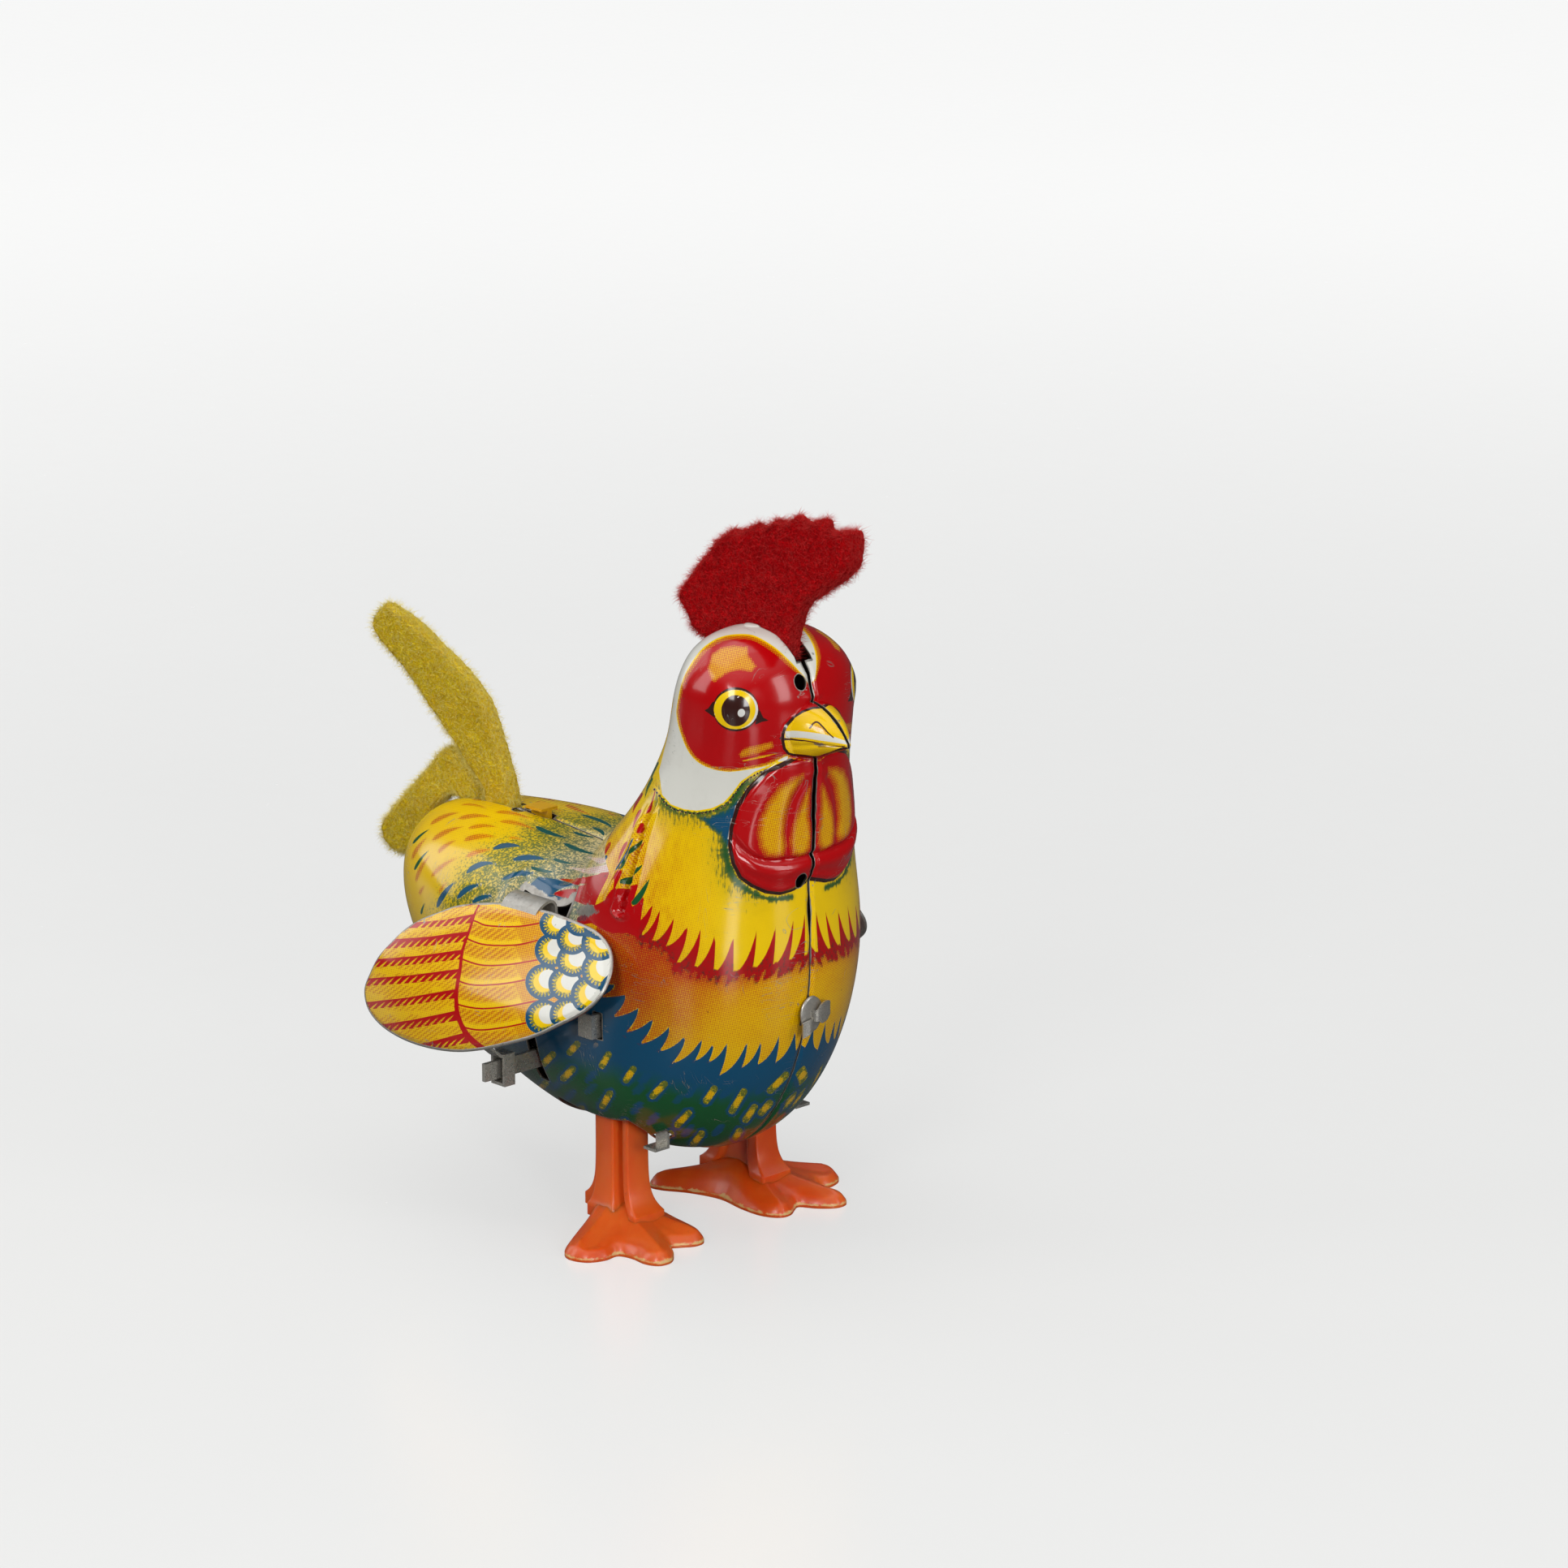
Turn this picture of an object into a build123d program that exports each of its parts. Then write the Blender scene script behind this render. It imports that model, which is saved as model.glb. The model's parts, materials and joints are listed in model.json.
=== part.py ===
from build123d import *
import math
import os

# Wind-up tin walking rooster. Millimetres, +X forward, +Y to the bird's left, +Z up.
# It stands on Z = 0 and the seam of its two body halves lies in Y = 0.
# X is laid out from a station midway between the ankles. save() then moves every piece
# forward, so that the origin lies under the middle of the whole length.
# Paired pieces are modelled on the left and mirrored to the right.

ORIGIN_SHIFT = 17.2

# Sheet, felt and clearances
TIN = 0.3                     # body shell sheet
WING_TIN = 0.5                # wing sheet
WING_DEPTH = 1.25 * WING_TIN  # wing sheet measured along Y
SEAM_GAP = 0.05               # from each body half to the seam plane
FELT = 3.0                    # thickness of comb and tail
FELT_CLEAR = 0.12             # on each side of the felt
PIVOT_CLEAR = 0.06            # radial running clearance
TAB_CLEAR = 0.3               # along the length of a tab in its slot

# Movement plates, left one
PLATE_T = 0.8
PLATE_Y = 9.0
PLATE_INNER = PLATE_Y - PLATE_T / 2
PLATE_OUTER = PLATE_Y + PLATE_T / 2

# Arbor and rod centres (X, Z), then radii
WIND = (-24.0, 33.0)
SECOND = (-20.98, 46.67)
CRANK = (-9.0, 46.0)
ESCAPE = (-0.95, 51.05)
PALLET = (8.0, 49.4)
HIP = (1.0, 38.0)
WIND_R = 2.0
SECOND_R = 1.0
CRANK_R = 1.4
ESCAPE_R = 0.7
PALLET_R = 0.7
HIP_R = 1.25

# Apothems of the hexagons that carry the gears
SECOND_HEX = 1.15
CRANK_HEX = 1.6
ESCAPE_HEX = 0.8

# Gear teeth
MODULE = 0.5
ADDENDUM = 0.8 * MODULE
DEDENDUM = 1.25 * MODULE
TOOTH_SLACK = 0.10            # taken off the tooth thickness at the pitch circle
PRESSURE_ANGLE = math.radians(22.5)
FLANK_STEPS = 4

CRANK_THROW = 2.6
PILLARS = [(-33.4, 46.0), (-12.0, 24.0), (7.6, 33.4), (8.2, 55.4)]   # X, Z
PILLAR_R = 1.5
SPIGOT_R = 0.8
ESCAPEMENT_Y = (-3.4, -2.6)   # star wheel and pallet
CLICK_Y = (4.9, 5.7)          # click and ratchet wheel

# Wing drive
LEVER_X = -9.5                # middle of the lever's thickness
LEVER_Y, LEVER_Z = 11.4, 31.0   # lever pivot
LEVER_PIN_R = 0.9
LOOP_Y = 32.0                 # middle of the loop round the lever
HINGE_Y = 22.0
TONGUE_X = (-15.5, -6.5)      # wing tongue at the hinge

# Plate tabs that pass through the body
FLANK_TAB_X = (7.2, 8.0)
FLANK_TAB_Z = (38.9, 43.1)
FOOT_TAB_X = (11.2, 14.2)
FOOT_TAB_Y = (15.1, 15.6)

# Legs
ARM_Y = (12.0, 12.8)
LEG_Y = (ARM_Y[1], 18.2)
RIVETS = [(1.0, 23.0), (1.0, 27.6)]   # X, Z
RIVET_R = 0.8


# ------------------------------------------------------------------ helpers
def combined(solids):
    """One object from a list of solids."""
    return solids[0] if len(solids) == 1 else Compound(solids)


def solid_of(shape):
    """All solids of a boolean result as one object."""
    return combined(list(shape.solids()))


def mirrored(shape):
    return combined([s.mirror(Plane.XZ) for s in shape.solids()])


def save(shape, name):
    shift = Location((ORIGIN_SHIFT, 0, 0))
    export_step(combined([s.moved(shift) for s in shape.solids()]), "parts/" + name + ".step")


def around(middle, reach):
    return (middle - reach, middle + reach)


def grown(span, extra):
    return (span[0] - extra, span[1] + extra)


def box(x, y, z):
    """Box from its (low, high) spans."""
    size = (x[1] - x[0], y[1] - y[0], z[1] - z[0])
    return Solid.make_box(*size).moved(Location((x[0], y[0], z[0])))


def cyl_y(centre, radius, y0, y1):
    """Cylinder along Y about an (X, Z) centre."""
    y0, y1 = min(y0, y1), max(y0, y1)
    plane = Plane(origin=(centre[0], y0, centre[1]), z_dir=(0, 1, 0))
    return Solid.make_cylinder(radius, y1 - y0, plane)


def cyl_x(centre, radius, x0, x1):
    """Cylinder along X about a (Y, Z) centre."""
    plane = Plane(origin=(x0, centre[0], centre[1]), z_dir=(1, 0, 0))
    return Solid.make_cylinder(radius, x1 - x0, plane)


def bore(shape, centre, radius):
    """Cut a round hole along Y right through a shape."""
    return shape - cyl_y(centre, radius, -40, 40)


def extruded(corners, travel):
    return Solid.extrude(Face(Wire.make_polygon(corners, close=True)), travel)


def prism_x(points, x0, x1):
    """Polygon of (Y, Z) points, extruded along X."""
    return extruded([Vector(x0, y, z) for y, z in points], Vector(x1 - x0, 0, 0))


def prism_y(points, y0, y1):
    """Polygon of (X, Z) points, extruded along Y."""
    return extruded([Vector(x, y0, z) for x, z in points], Vector(0, y1 - y0, 0))


def prism_z(points, z0, z1):
    """Polygon of (X, Y) points, extruded along Z."""
    return extruded([Vector(x, y, z0) for x, y in points], Vector(0, 0, z1 - z0))


def smooth_prism_y(points, y0, y1):
    """Closed spline through (X, Z) points, extruded along Y."""
    edge = Edge.make_spline([Vector(x, y0, z) for x, z in points], periodic=True)
    return Solid.extrude(Face(Wire([edge])), Vector(0, y1 - y0, 0))


def polar(centre, radius, angle):
    return (centre[0] + radius * math.cos(angle), centre[1] + radius * math.sin(angle))


def polygon(centre, sides, apothem):
    radius = apothem / math.cos(math.pi / sides)
    return [polar(centre, radius, 2 * math.pi * k / sides) for k in range(sides)]


def direction(start, end):
    return math.atan2(end[1] - start[1], end[0] - start[0])


def strip(path, thickness):
    """Outline of a bent strip whose middle follows an open path, with mitred bends."""
    normals = []
    for (x0, z0), (x1, z1) in zip(path, path[1:]):
        length = math.hypot(x1 - x0, z1 - z0)
        normals.append((-(z1 - z0) / length, (x1 - x0) / length))
    left, right = [], []
    for i, (x, z) in enumerate(path):
        before = normals[max(i - 1, 0)]
        after = normals[min(i, len(normals) - 1)]
        nx, nz = before[0] + after[0], before[1] + after[1]
        length = math.hypot(nx, nz)
        nx, nz = nx / length, nz / length
        # the lower limit keeps sharp bends from running out to long points
        reach = thickness / 2 / max(0.35, nx * before[0] + nz * before[1])
        left.append((x + nx * reach, z + nz * reach))
        right.append((x - nx * reach, z - nz * reach))
    return left + right[::-1]


# -------------------------------------------------------------- body shells
# Each section is a plane square to the seam, from (Xb, Zb) on the back seam to (Xf, Zf)
# on the breast or belly seam. The half width is reached at fraction c along it. nb and
# nf are the superellipse exponents of the back and front parts.
SECTIONS = [
    #  Xb     Zb     Xf     Zf    half   nb   nf   c
    (-65.0,  54.6, -64.8,  50.0,  2.6, 2.0, 2.0, .50),
    (-63.8,  58.2, -63.2,  44.8,  7.0, 2.1, 2.0, .50),
    (-60.4,  62.0, -59.6,  38.8, 11.4, 2.2, 2.0, .48),
    (-54.6,  64.4, -53.6,  32.8, 15.6, 2.3, 2.0, .46),
    (-46.0,  65.2, -44.5,  26.4, 19.8, 2.5, 2.1, .44),
    (-36.0,  65.1, -32.5,  21.0, 23.6, 2.7, 2.1, .42),
    (-27.0,  64.5, -19.0,  17.0, 25.4, 2.8, 2.2, .42),
    (-19.5,  63.8,  -5.0,  14.6, 26.2, 2.8, 2.2, .44),
    (-14.6,  63.4,   9.0,  14.2, 26.2, 2.6, 2.1, .48),
    (-11.6,  64.6,  20.0,  19.0, 25.8, 2.4, 2.1, .50),
    ( -9.8,  66.4,  28.4,  30.4, 25.3, 2.3, 2.05, .50),
    ( -8.2,  68.8,  32.4,  43.0, 24.9, 2.2, 2.05, .50),
    ( -5.6,  71.6,  33.4,  53.6, 23.8, 2.1, 2.05, .50),
    ( -1.8,  75.6,  33.0,  63.6, 21.6, 2.1, 2.1, .50),
    (  2.0,  80.6,  33.0,  73.0, 19.2, 2.1, 2.2, .50),
    (  5.0,  85.8,  33.2,  81.6, 17.5, 2.1, 2.2, .50),
    (  7.6,  91.0,  33.8,  89.6, 16.5, 2.2, 2.3, .50),
    (  9.4,  96.4,  34.0,  97.0, 16.4, 2.3, 2.4, .50),
    ( 10.8, 101.2,  32.9, 102.2, 15.6, 2.3, 2.4, .50),
    ( 12.0, 105.2,  30.6, 105.8, 12.8, 2.2, 2.3, .50),
    ( 15.0, 107.8,  27.0, 108.2,  8.6, 2.1, 2.2, .50),
    ( 18.6, 109.0,  23.2, 109.1,  3.0, 2.0, 2.0, .50),
]
SECTION_STEPS = 15

# How far the sections at the closed ends shift in X and Z, per unit of inset
END_SHIFTS = {
    0: (0.9, 0.0),
    1: (0.6, 0.0),
    len(SECTIONS) - 2: (0.0, -0.8),
    len(SECTIONS) - 1: (0.0, -1.0),
}

# X, Z of the ridge, Z of the under edge, half width
BEAK = [
    (30.0, 98.4, 87.6, 6.4),
    (34.0, 97.8, 88.2, 5.6),
    (36.8, 96.9, 89.2, 4.3),
    (39.2, 95.4, 90.2, 2.9),
    (41.0, 93.6, 90.9, 1.4),
    (41.9, 92.4, 91.3, 0.55),
]
BEAK_STEPS = 8

LEG_OPENING = [  # X, Y
    (-12.6, -1), (14.2, -1), (14.2, 8.0), (10.4, 12.0), (10.4, 17.4), (8.8, 19.6),
    (-9.4, 19.6), (-12.6, 16.0)]
COMB_SLOT = [(6.4, 98.0), (6.4, 112.0), (31.6, 112.0), (31.6, 104.0), (27.0, 98.0)]  # X, Z

# Round holes beside the seam in the head, breast and back: centre, direction
ROUND_HOLES = [
    ((33.1, 2.3, 101.5), (1, 0.05, 0.25)),
    ((32.9, 2.4, 67.3), (1, 0.05, 0.0)),
    ((-39.4, 1.5, 65.2), (0, 0.0, 1.0)),
]


def half_outline(points):
    """Spline bulging to +Y, closed by a straight line in the seam plane."""
    arc = Edge.make_spline(points, tangents=[Vector(0, 1, 0), Vector(0, -1, 0)])
    return Wire([arc, Edge.make_line(points[-1], points[0])])


def section_wire(row, inset, shift):
    xb, zb, xf, zf, half_width, n_back, n_front, fraction = row
    xb, xf = xb + shift[0] * inset, xf + shift[0] * inset
    zb, zf = zb + shift[1] * inset, zf + shift[1] * inset
    length = math.hypot(xf - xb, zf - zb)
    dx, dz = (xf - xb) / length * inset, (zf - zb) / length * inset
    xb, zb, xf, zf = xb + dx, zb + dz, xf - dx, zf - dz
    half_width -= inset
    points = [Vector(xb, 0, zb)]
    for i in range(1, SECTION_STEPS):
        angle = math.pi * i / SECTION_STEPS
        cosine = math.cos(angle)
        power = 2 / (n_back if cosine > 0 else n_front)
        y = half_width * math.sin(angle) ** power
        if cosine > 0:
            t = fraction - cosine ** power * fraction
        else:
            t = fraction + (-cosine) ** power * (1 - fraction)
        points.append(Vector(xb + (xf - xb) * t, y, zb + (zf - zb) * t))
    points.append(Vector(xf, 0, zf))
    return Face(half_outline(points)).outer_wire()


def body_half(inset):
    wires = [section_wire(row, inset, END_SHIFTS.get(i, (0.0, 0.0)))
             for i, row in enumerate(SECTIONS)]
    return Solid.make_loft(wires, ruled=False)


def beak_half(inset):
    wires = []
    for x, z_top, z_low, half_width in BEAK:
        z_top, z_low = z_top - inset, z_low + inset * 0.4
        points = []
        for i in range(BEAK_STEPS + 1):
            angle = math.pi * i / BEAK_STEPS
            on_seam = i in (0, BEAK_STEPS)
            y = 0.0 if on_seam else (half_width - inset) * math.sin(angle) ** 0.8
            z = (z_top + z_low) / 2 + (z_top - z_low) / 2 * math.cos(angle)
            points.append(Vector(x - inset, y, z))
        wires.append(half_outline(points))
    return Solid.make_loft(wires, ruled=False)


def shell_cuts():
    """Openings of the left half shell, all but the key hole."""
    wall = (15, 32)                    # reaches through the flank
    seam = (-1, 1.2)
    felt_half = FELT / 2 + FELT_CLEAR
    lever_slot = box(around(LEVER_X, 1.4), wall, around(LEVER_Z, 3.0))
    for z in around(LEVER_Z, 3.0):
        lever_slot = lever_slot + cyl_y((LEVER_X, z), 1.4, *wall)
    cuts = [
        prism_z(LEG_OPENING, 5, 25),
        box(grown(TONGUE_X, 1.5), (HINGE_Y - 1.9, HINGE_Y + 1.7), (52.0, 63.0)),
        lever_slot,
        box(grown(FLANK_TAB_X, 0.6), wall, grown(FLANK_TAB_Z, TAB_CLEAR)),
        box(grown(FOOT_TAB_X, TAB_CLEAR), (14.6, 16.2), (15, 26.0)),
        prism_y(COMB_SLOT, -1, felt_half),
        box((-60.4, -41.0), (-1, felt_half), (57.0, 70.0)),    # tail slot
    ]
    for centre, along in ROUND_HOLES:
        axis = Vector(*along).normalized()
        plane = Plane(origin=Vector(*centre) - axis * 3, z_dir=axis)
        cuts.append(Solid.make_cylinder(1.3, 6.0, plane))
    cuts.append(box((31.0, 35.0), seam, (41.4, 45.4)))         # breast clip slot
    cuts.append(box((-38.0, -32.4), seam, (60.0, 68.0)))       # back tab slot
    return cuts


def save_body_shells():
    """Only the left shell has the key hole."""
    outer = body_half(0.0) + beak_half(0.0)
    inner = body_half(TIN) + beak_half(TIN)
    shell = solid_of(outer - inner).moved(Location((0, SEAM_GAP, 0)))
    for cut in shell_cuts():
        shell = shell - cut
    shell = solid_of(shell)
    save(shell - cyl_y(WIND, 3.2, 15, 32), "left_body_shell")
    save(mirrored(shell), "right_body_shell")


def breast_clip():
    """Trimmed disc in front of the breast, with a leg and a foot behind it."""
    plane = Plane(origin=(33.2, 0, 43.3), z_dir=(1, 0, -0.02))
    disc = Solid.make_cylinder(3.1, 0.5, plane) & box((32, 35), (-2.6, 2.6), (40, 47))
    leg_z = (42.4, 44.4)
    leg = box((30.6, 33.25), (-0.75, 0.75), leg_z)
    return disc + leg + box((30.6, 31.1), (-2.0, 2.0), leg_z)


def back_tab():
    """Two flanges, above and below the back, joined by a web."""
    x = (-37.4, -33.0)
    flange_y = (-1.9, 1.9)
    tab = box(x, flange_y, (66.0, 66.5)) + box(x, (-0.5, 0.5), (62.5, 66.2))
    return tab + box(x, flange_y, (62.3, 62.8))


# --------------------------------------------------------------------- felt
# Outlines, X and Z
COMB = [
    (5.6, 105.7), (3.7, 108.4), (1.7, 110.6), (3.7, 114.0), (7.7, 118.2), (11.0, 121.6),
    (14.4, 124.1), (17.6, 124.6), (20.9, 126.2), (23.0, 126.0), (25.4, 127.6), (28.2, 127.7),
    (30.6, 129.1), (33.0, 128.3), (35.2, 129.0), (37.5, 129.6), (38.7, 127.8), (43.8, 128.6),
    (44.9, 127.5), (44.8, 124.3), (43.3, 121.3), (38.5, 117.9), (33.5, 114.7), (31.9, 112.4),
    (31.2, 110.7), (30.2, 107.8), (29.0, 104.6), (24.0, 103.6), (16.0, 103.2), (11.4, 103.6),
    (8.6, 104.4)]
TAIL_UPPER = [
    (-51.0, 60.5), (-49.4, 66.0), (-54.3, 70.6), (-62.1, 77.7), (-70.5, 85.1), (-79.3, 91.6),
    (-76.0, 96.5), (-73.1, 96.6), (-67.4, 94.9), (-61.7, 92.0), (-54.8, 88.5), (-49.3, 84.2),
    (-46.6, 79.9), (-44.4, 74.1), (-41.7, 66.7), (-42.4, 60.5)]
TAIL_LOWER = [
    (-56.8, 60.0), (-57.8, 65.8), (-61.4, 66.2), (-65.6, 63.6), (-69.6, 58.4), (-74.0, 50.6),
    (-77.9, 51.0), (-79.3, 53.4), (-78.7, 56.0), (-72.7, 63.0), (-67.2, 68.0), (-60.4, 73.0),
    (-55.4, 70.4), (-51.6, 66.4), (-51.4, 60.4)]


def felt(outline):
    return smooth_prism_y(outline, -FELT / 2, FELT / 2)


def comb_felt():
    return felt(COMB)


def tail_felt():
    return felt(TAIL_UPPER) + felt(TAIL_LOWER)


# -------------------------------------------------------------------- wings
WING = [  # X, Z
    (-45.1, 37.2), (-43.7, 40.5), (-41.8, 43.9), (-39.0, 47.1), (-36.4, 49.8), (-33.3, 52.0),
    (-29.3, 54.0), (-25.3, 55.8), (-16.8, 57.8), (-6.0, 58.6), (-0.7, 58.5), (3.4, 58.2),
    (7.1, 57.8), (10.5, 56.8), (13.2, 55.2), (14.9, 53.0), (15.4, 50.6), (14.9, 48.6),
    (13.5, 46.7), (11.2, 44.9), (8.3, 43.1), (5.0, 41.1), (1.3, 39.3), (-3.7, 37.3),
    (-9.5, 35.2), (-16.0, 33.4), (-24.0, 32.2), (-32.0, 31.8), (-39.0, 32.4), (-43.6, 34.2)]

# Upright profile of the wing sheet's outer face where it stands out furthest
WING_CREST_X = -14.0
WING_Z = [28.0, 33.0, 39.0, 45.0, 51.0, 57.0, 61.0]
WING_Y = [37.0, 37.6, 37.2, 35.6, 32.4, 27.7, 23.8]

WING_STATIONS = (-50.0, -38.0, -26.0, -14.0, -2.0, 10.0, 20.0)   # X
WING_HEIGHTS = [29.0 + 32.0 * k / 10 for k in range(11)]         # Z


def wing_y(x, z, inset=0.0):
    """Y of the wing's outer face, less inset: cubic in Z, falling off as a parabola in X."""
    last = len(WING_Z) - 1
    i = next((k for k in range(last - 1) if z <= WING_Z[k + 1]), last - 1)

    def slope(a, b):
        return (WING_Y[b] - WING_Y[a]) / (WING_Z[b] - WING_Z[a])

    height = WING_Z[i + 1] - WING_Z[i]
    t = (z - WING_Z[i]) / height
    slope_low = slope(max(i - 1, 0), i + 1)
    slope_high = slope(i, min(i + 2, last))
    y = ((2 * t ** 3 - 3 * t ** 2 + 1) * WING_Y[i]
         + (t ** 3 - 2 * t ** 2 + t) * height * slope_low
         + (-2 * t ** 3 + 3 * t ** 2) * WING_Y[i + 1]
         + (t ** 3 - t ** 2) * height * slope_high)
    fall = 0.004 if x < WING_CREST_X else 0.0022
    return y - fall * (x - WING_CREST_X) ** 2 - inset


def wing_band(x):
    """Section of the wing sheet at x."""
    outer = [Vector(x, wing_y(x, z), z) for z in WING_HEIGHTS]
    inner = [Vector(x, wing_y(x, z, WING_DEPTH), z) for z in WING_HEIGHTS]
    return Wire([Edge.make_spline(outer), Edge.make_line(outer[-1], inner[-1]),
                 Edge.make_spline(inner), Edge.make_line(inner[0], outer[0])])


def wing():
    """Curved sheet with a tongue hooked through the slot in the shoulder."""
    sheet = Solid.make_loft([wing_band(x) for x in WING_STATIONS], ruled=False)
    path = [(HINGE_Y + 4.6, 57.6), (HINGE_Y + 3.2, 59.5), (HINGE_Y + 0.9, 59.7),
            (HINGE_Y, 58.4), (HINGE_Y - 0.1, 56.2), (HINGE_Y - 1.2, 54.6),
            (HINGE_Y - 2.6, 54.6)]
    tongue = prism_x(strip(path, WING_TIN), *TONGUE_X)
    return solid_of(sheet & smooth_prism_y(WING, 10, 50)) + tongue


def wing_loop():
    """Loop round the lever, with an arm up to the inner face of the wing."""
    loop = box(around(LEVER_X, 1.75), around(LOOP_Y, 1.2), around(LEVER_Z, 2.9))
    loop = loop - box(around(LEVER_X, 1.2), around(LOOP_Y, 3), around(LEVER_Z, 2.35))
    path = [(LOOP_Y - 1.2, 33.65), (LOOP_Y + 1.6, 33.65),
            (wing_y(LEVER_X, 36.4, 1.15), 36.0),
            (wing_y(LEVER_X, 38.6, 1.02), 38.6),
            (wing_y(LEVER_X, 41.0, 1.02), 41.0)]
    return loop + prism_x(strip(path, WING_TIN), *around(LEVER_X, 1.5))


def wing_lever():
    """Strip out to the wing loop, with a short upright arm above the pivot."""
    y, z = LEVER_Y, LEVER_Z
    outline = [(y - 0.9, z - 1.7), (36.4, z - 1.6), (36.4, z + 1.6), (y + 1.8, z + 1.6),
               (y + 1.3, z + 7.4), (y + 0.2, z + 7.4), (y - 0.9, z + 1.6)]
    lever = prism_x(outline, *around(LEVER_X, 0.4))
    return lever - cyl_x((y, z), LEVER_PIN_R + PIVOT_CLEAR, *around(LEVER_X, 2))


def lever_pin():
    centre = (LEVER_Y, LEVER_Z)
    pin = cyl_x(centre, LEVER_PIN_R, LEVER_X - 2.3, LEVER_X + 0.9)
    return pin + cyl_x(centre, 1.4, LEVER_X + 0.5, LEVER_X + 0.9)


# ---------------------------------------------------------- movement plates
PLATE = [  # X, Z
    (-37.0, 30.0), (-33.0, 24.5), (-24.0, 21.5), (-14.0, 20.6), (-9.0, 25.6), (6.0, 25.6),
    (9.6, 33.0), (12.0, 44.0), (12.0, 53.0), (8.0, 57.4), (-26.0, 58.4), (-36.0, 52.0)]
FOOT_WEB = [(5.0, 26.0), (14.2, 26.0), (14.2, 29.0), (9.6, 36.0)]   # X, Z


def movement_plate():
    plate = prism_y(PLATE, PLATE_INNER, PLATE_OUTER)
    arbors = ((WIND, WIND_R), (SECOND, SECOND_R), (CRANK, CRANK_R), (ESCAPE, ESCAPE_R),
              (PALLET, PALLET_R))
    for centre, radius in arbors:
        plate = bore(plate, centre, radius + PIVOT_CLEAR)
    plate = bore(plate, HIP, HIP_R)
    for centre in PILLARS:
        plate = bore(plate, centre, SPIGOT_R)
    plate = bore(plate, (-12.0, 33.2), 3.6)
    plate = bore(plate, (-30.0, 53.0), 2.0)
    root_y = PLATE_OUTER - 0.1         # bent pieces start inside the plate

    # ear that carries the lever pivot
    ear = box((LEVER_X - 1.7, LEVER_X - 0.9), (root_y, 13.4), around(LEVER_Z, 2.6))
    ear = ear - cyl_x((LEVER_Y, LEVER_Z), LEVER_PIN_R, -20, 0)

    # strap at the front, through the flank slot and bent over outside
    flank = box(FLANK_TAB_X, (root_y, 27.2), FLANK_TAB_Z)
    flank = flank + box((4.6, FLANK_TAB_X[1]), (26.7, 27.2), FLANK_TAB_Z)

    # strap below, through the bottom slot and bent over outside
    foot = box(FOOT_TAB_X, (PLATE_INNER, FOOT_TAB_Y[1]), (27.4, 28.0))
    foot = foot + box(FOOT_TAB_X, FOOT_TAB_Y, (18.6, 28.0))
    foot = foot + box(FOOT_TAB_X, (FOOT_TAB_Y[0], 18.4), (18.2, 18.7))

    web = prism_y(FOOT_WEB, PLATE_INNER, PLATE_OUTER)
    plate = plate + ear + flank + foot + web
    # the web runs into the edge of a pillar hole, so the holes are cut again
    for centre in PILLARS:
        plate = bore(plate, centre, SPIGOT_R)
    return plate


def movement_pillars():
    end = PLATE_OUTER + 0.5
    return Compound([
        solid_of(cyl_y(centre, PILLAR_R, -PLATE_INNER, PLATE_INNER)
                 + cyl_y(centre, SPIGOT_R, -end, end))
        for centre in PILLARS])


# -------------------------------------------------------------------- gears
# A wheel has a tooth on the line to its mate and five octagonal lightening holes.
# name, teeth, centre, mate, y0, y1, bore sides, bore apothem, hole circle, hole apothem
WHEELS = [
    ("great_wheel", 46, WIND, SECOND, 6.2, 7.2, 24, WIND_R + PIVOT_CLEAR, 7.0, 1.9),
    ("second_wheel", 36, SECOND, CRANK, -8.0, -7.2, 6, SECOND_HEX, 5.4, 1.5),
    ("crank_wheel", 30, CRANK, ESCAPE, 3.9, 4.7, 6, CRANK_HEX, 4.7, 1.2),
]
# A pinion has a tooth space on the line to its mate, and a hexagonal bore.
# name, teeth, centre, mate, y0, y1, bore apothem
PINIONS = [
    ("second_pinion", 10, SECOND, WIND, 5.4, 8.0, SECOND_HEX),
    ("crank_pinion", 12, CRANK, SECOND, -8.2, -5.6, CRANK_HEX),
    ("escape_pinion", 8, ESCAPE, CRANK, 3.0, 5.6, ESCAPE_HEX),
]
# name, centre, radius, half length, hexagon apothem, hexagon half length
HEX_ARBORS = [
    ("second_arbor", SECOND, SECOND_R, PLATE_Y + 0.8, SECOND_HEX, 8.0),
    ("crank_arbor", CRANK, CRANK_R, 11.0, CRANK_HEX, 8.3),
    ("escape_arbor", ESCAPE, ESCAPE_R, PLATE_Y + 0.7, ESCAPE_HEX, 7.8),
]


def involute(angle):
    return math.tan(angle) - angle


def gear_outline(teeth, centre, phase):
    """Spur gear with one tooth centred on the angle phase."""
    pitch_r = teeth * MODULE / 2
    tip_r = pitch_r + ADDENDUM
    root_r = pitch_r - DEDENDUM
    base_r = pitch_r * math.cos(PRESSURE_ANGLE)
    half_tooth = math.pi / (2 * teeth) - TOOTH_SLACK / (2 * pitch_r)
    base_angle = half_tooth + involute(PRESSURE_ANGLE)
    start_r = max(base_r, root_r)
    radii = [start_r + (tip_r - start_r) * k / FLANK_STEPS for k in range(FLANK_STEPS + 1)]
    if root_r < base_r:
        radii.insert(0, root_r)        # radial flank below the base circle
    flank = []
    for r in radii:
        turn = involute(math.acos(base_r / r)) if r > base_r else 0.0
        flank.append((r, base_angle - turn))
    points = []
    for k in range(teeth):
        middle = phase + 2 * math.pi * k / teeth
        points += [polar(centre, r, middle - a) for r, a in flank]
        points += [polar(centre, r, middle + a) for r, a in flank[::-1]]
    return points


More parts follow.
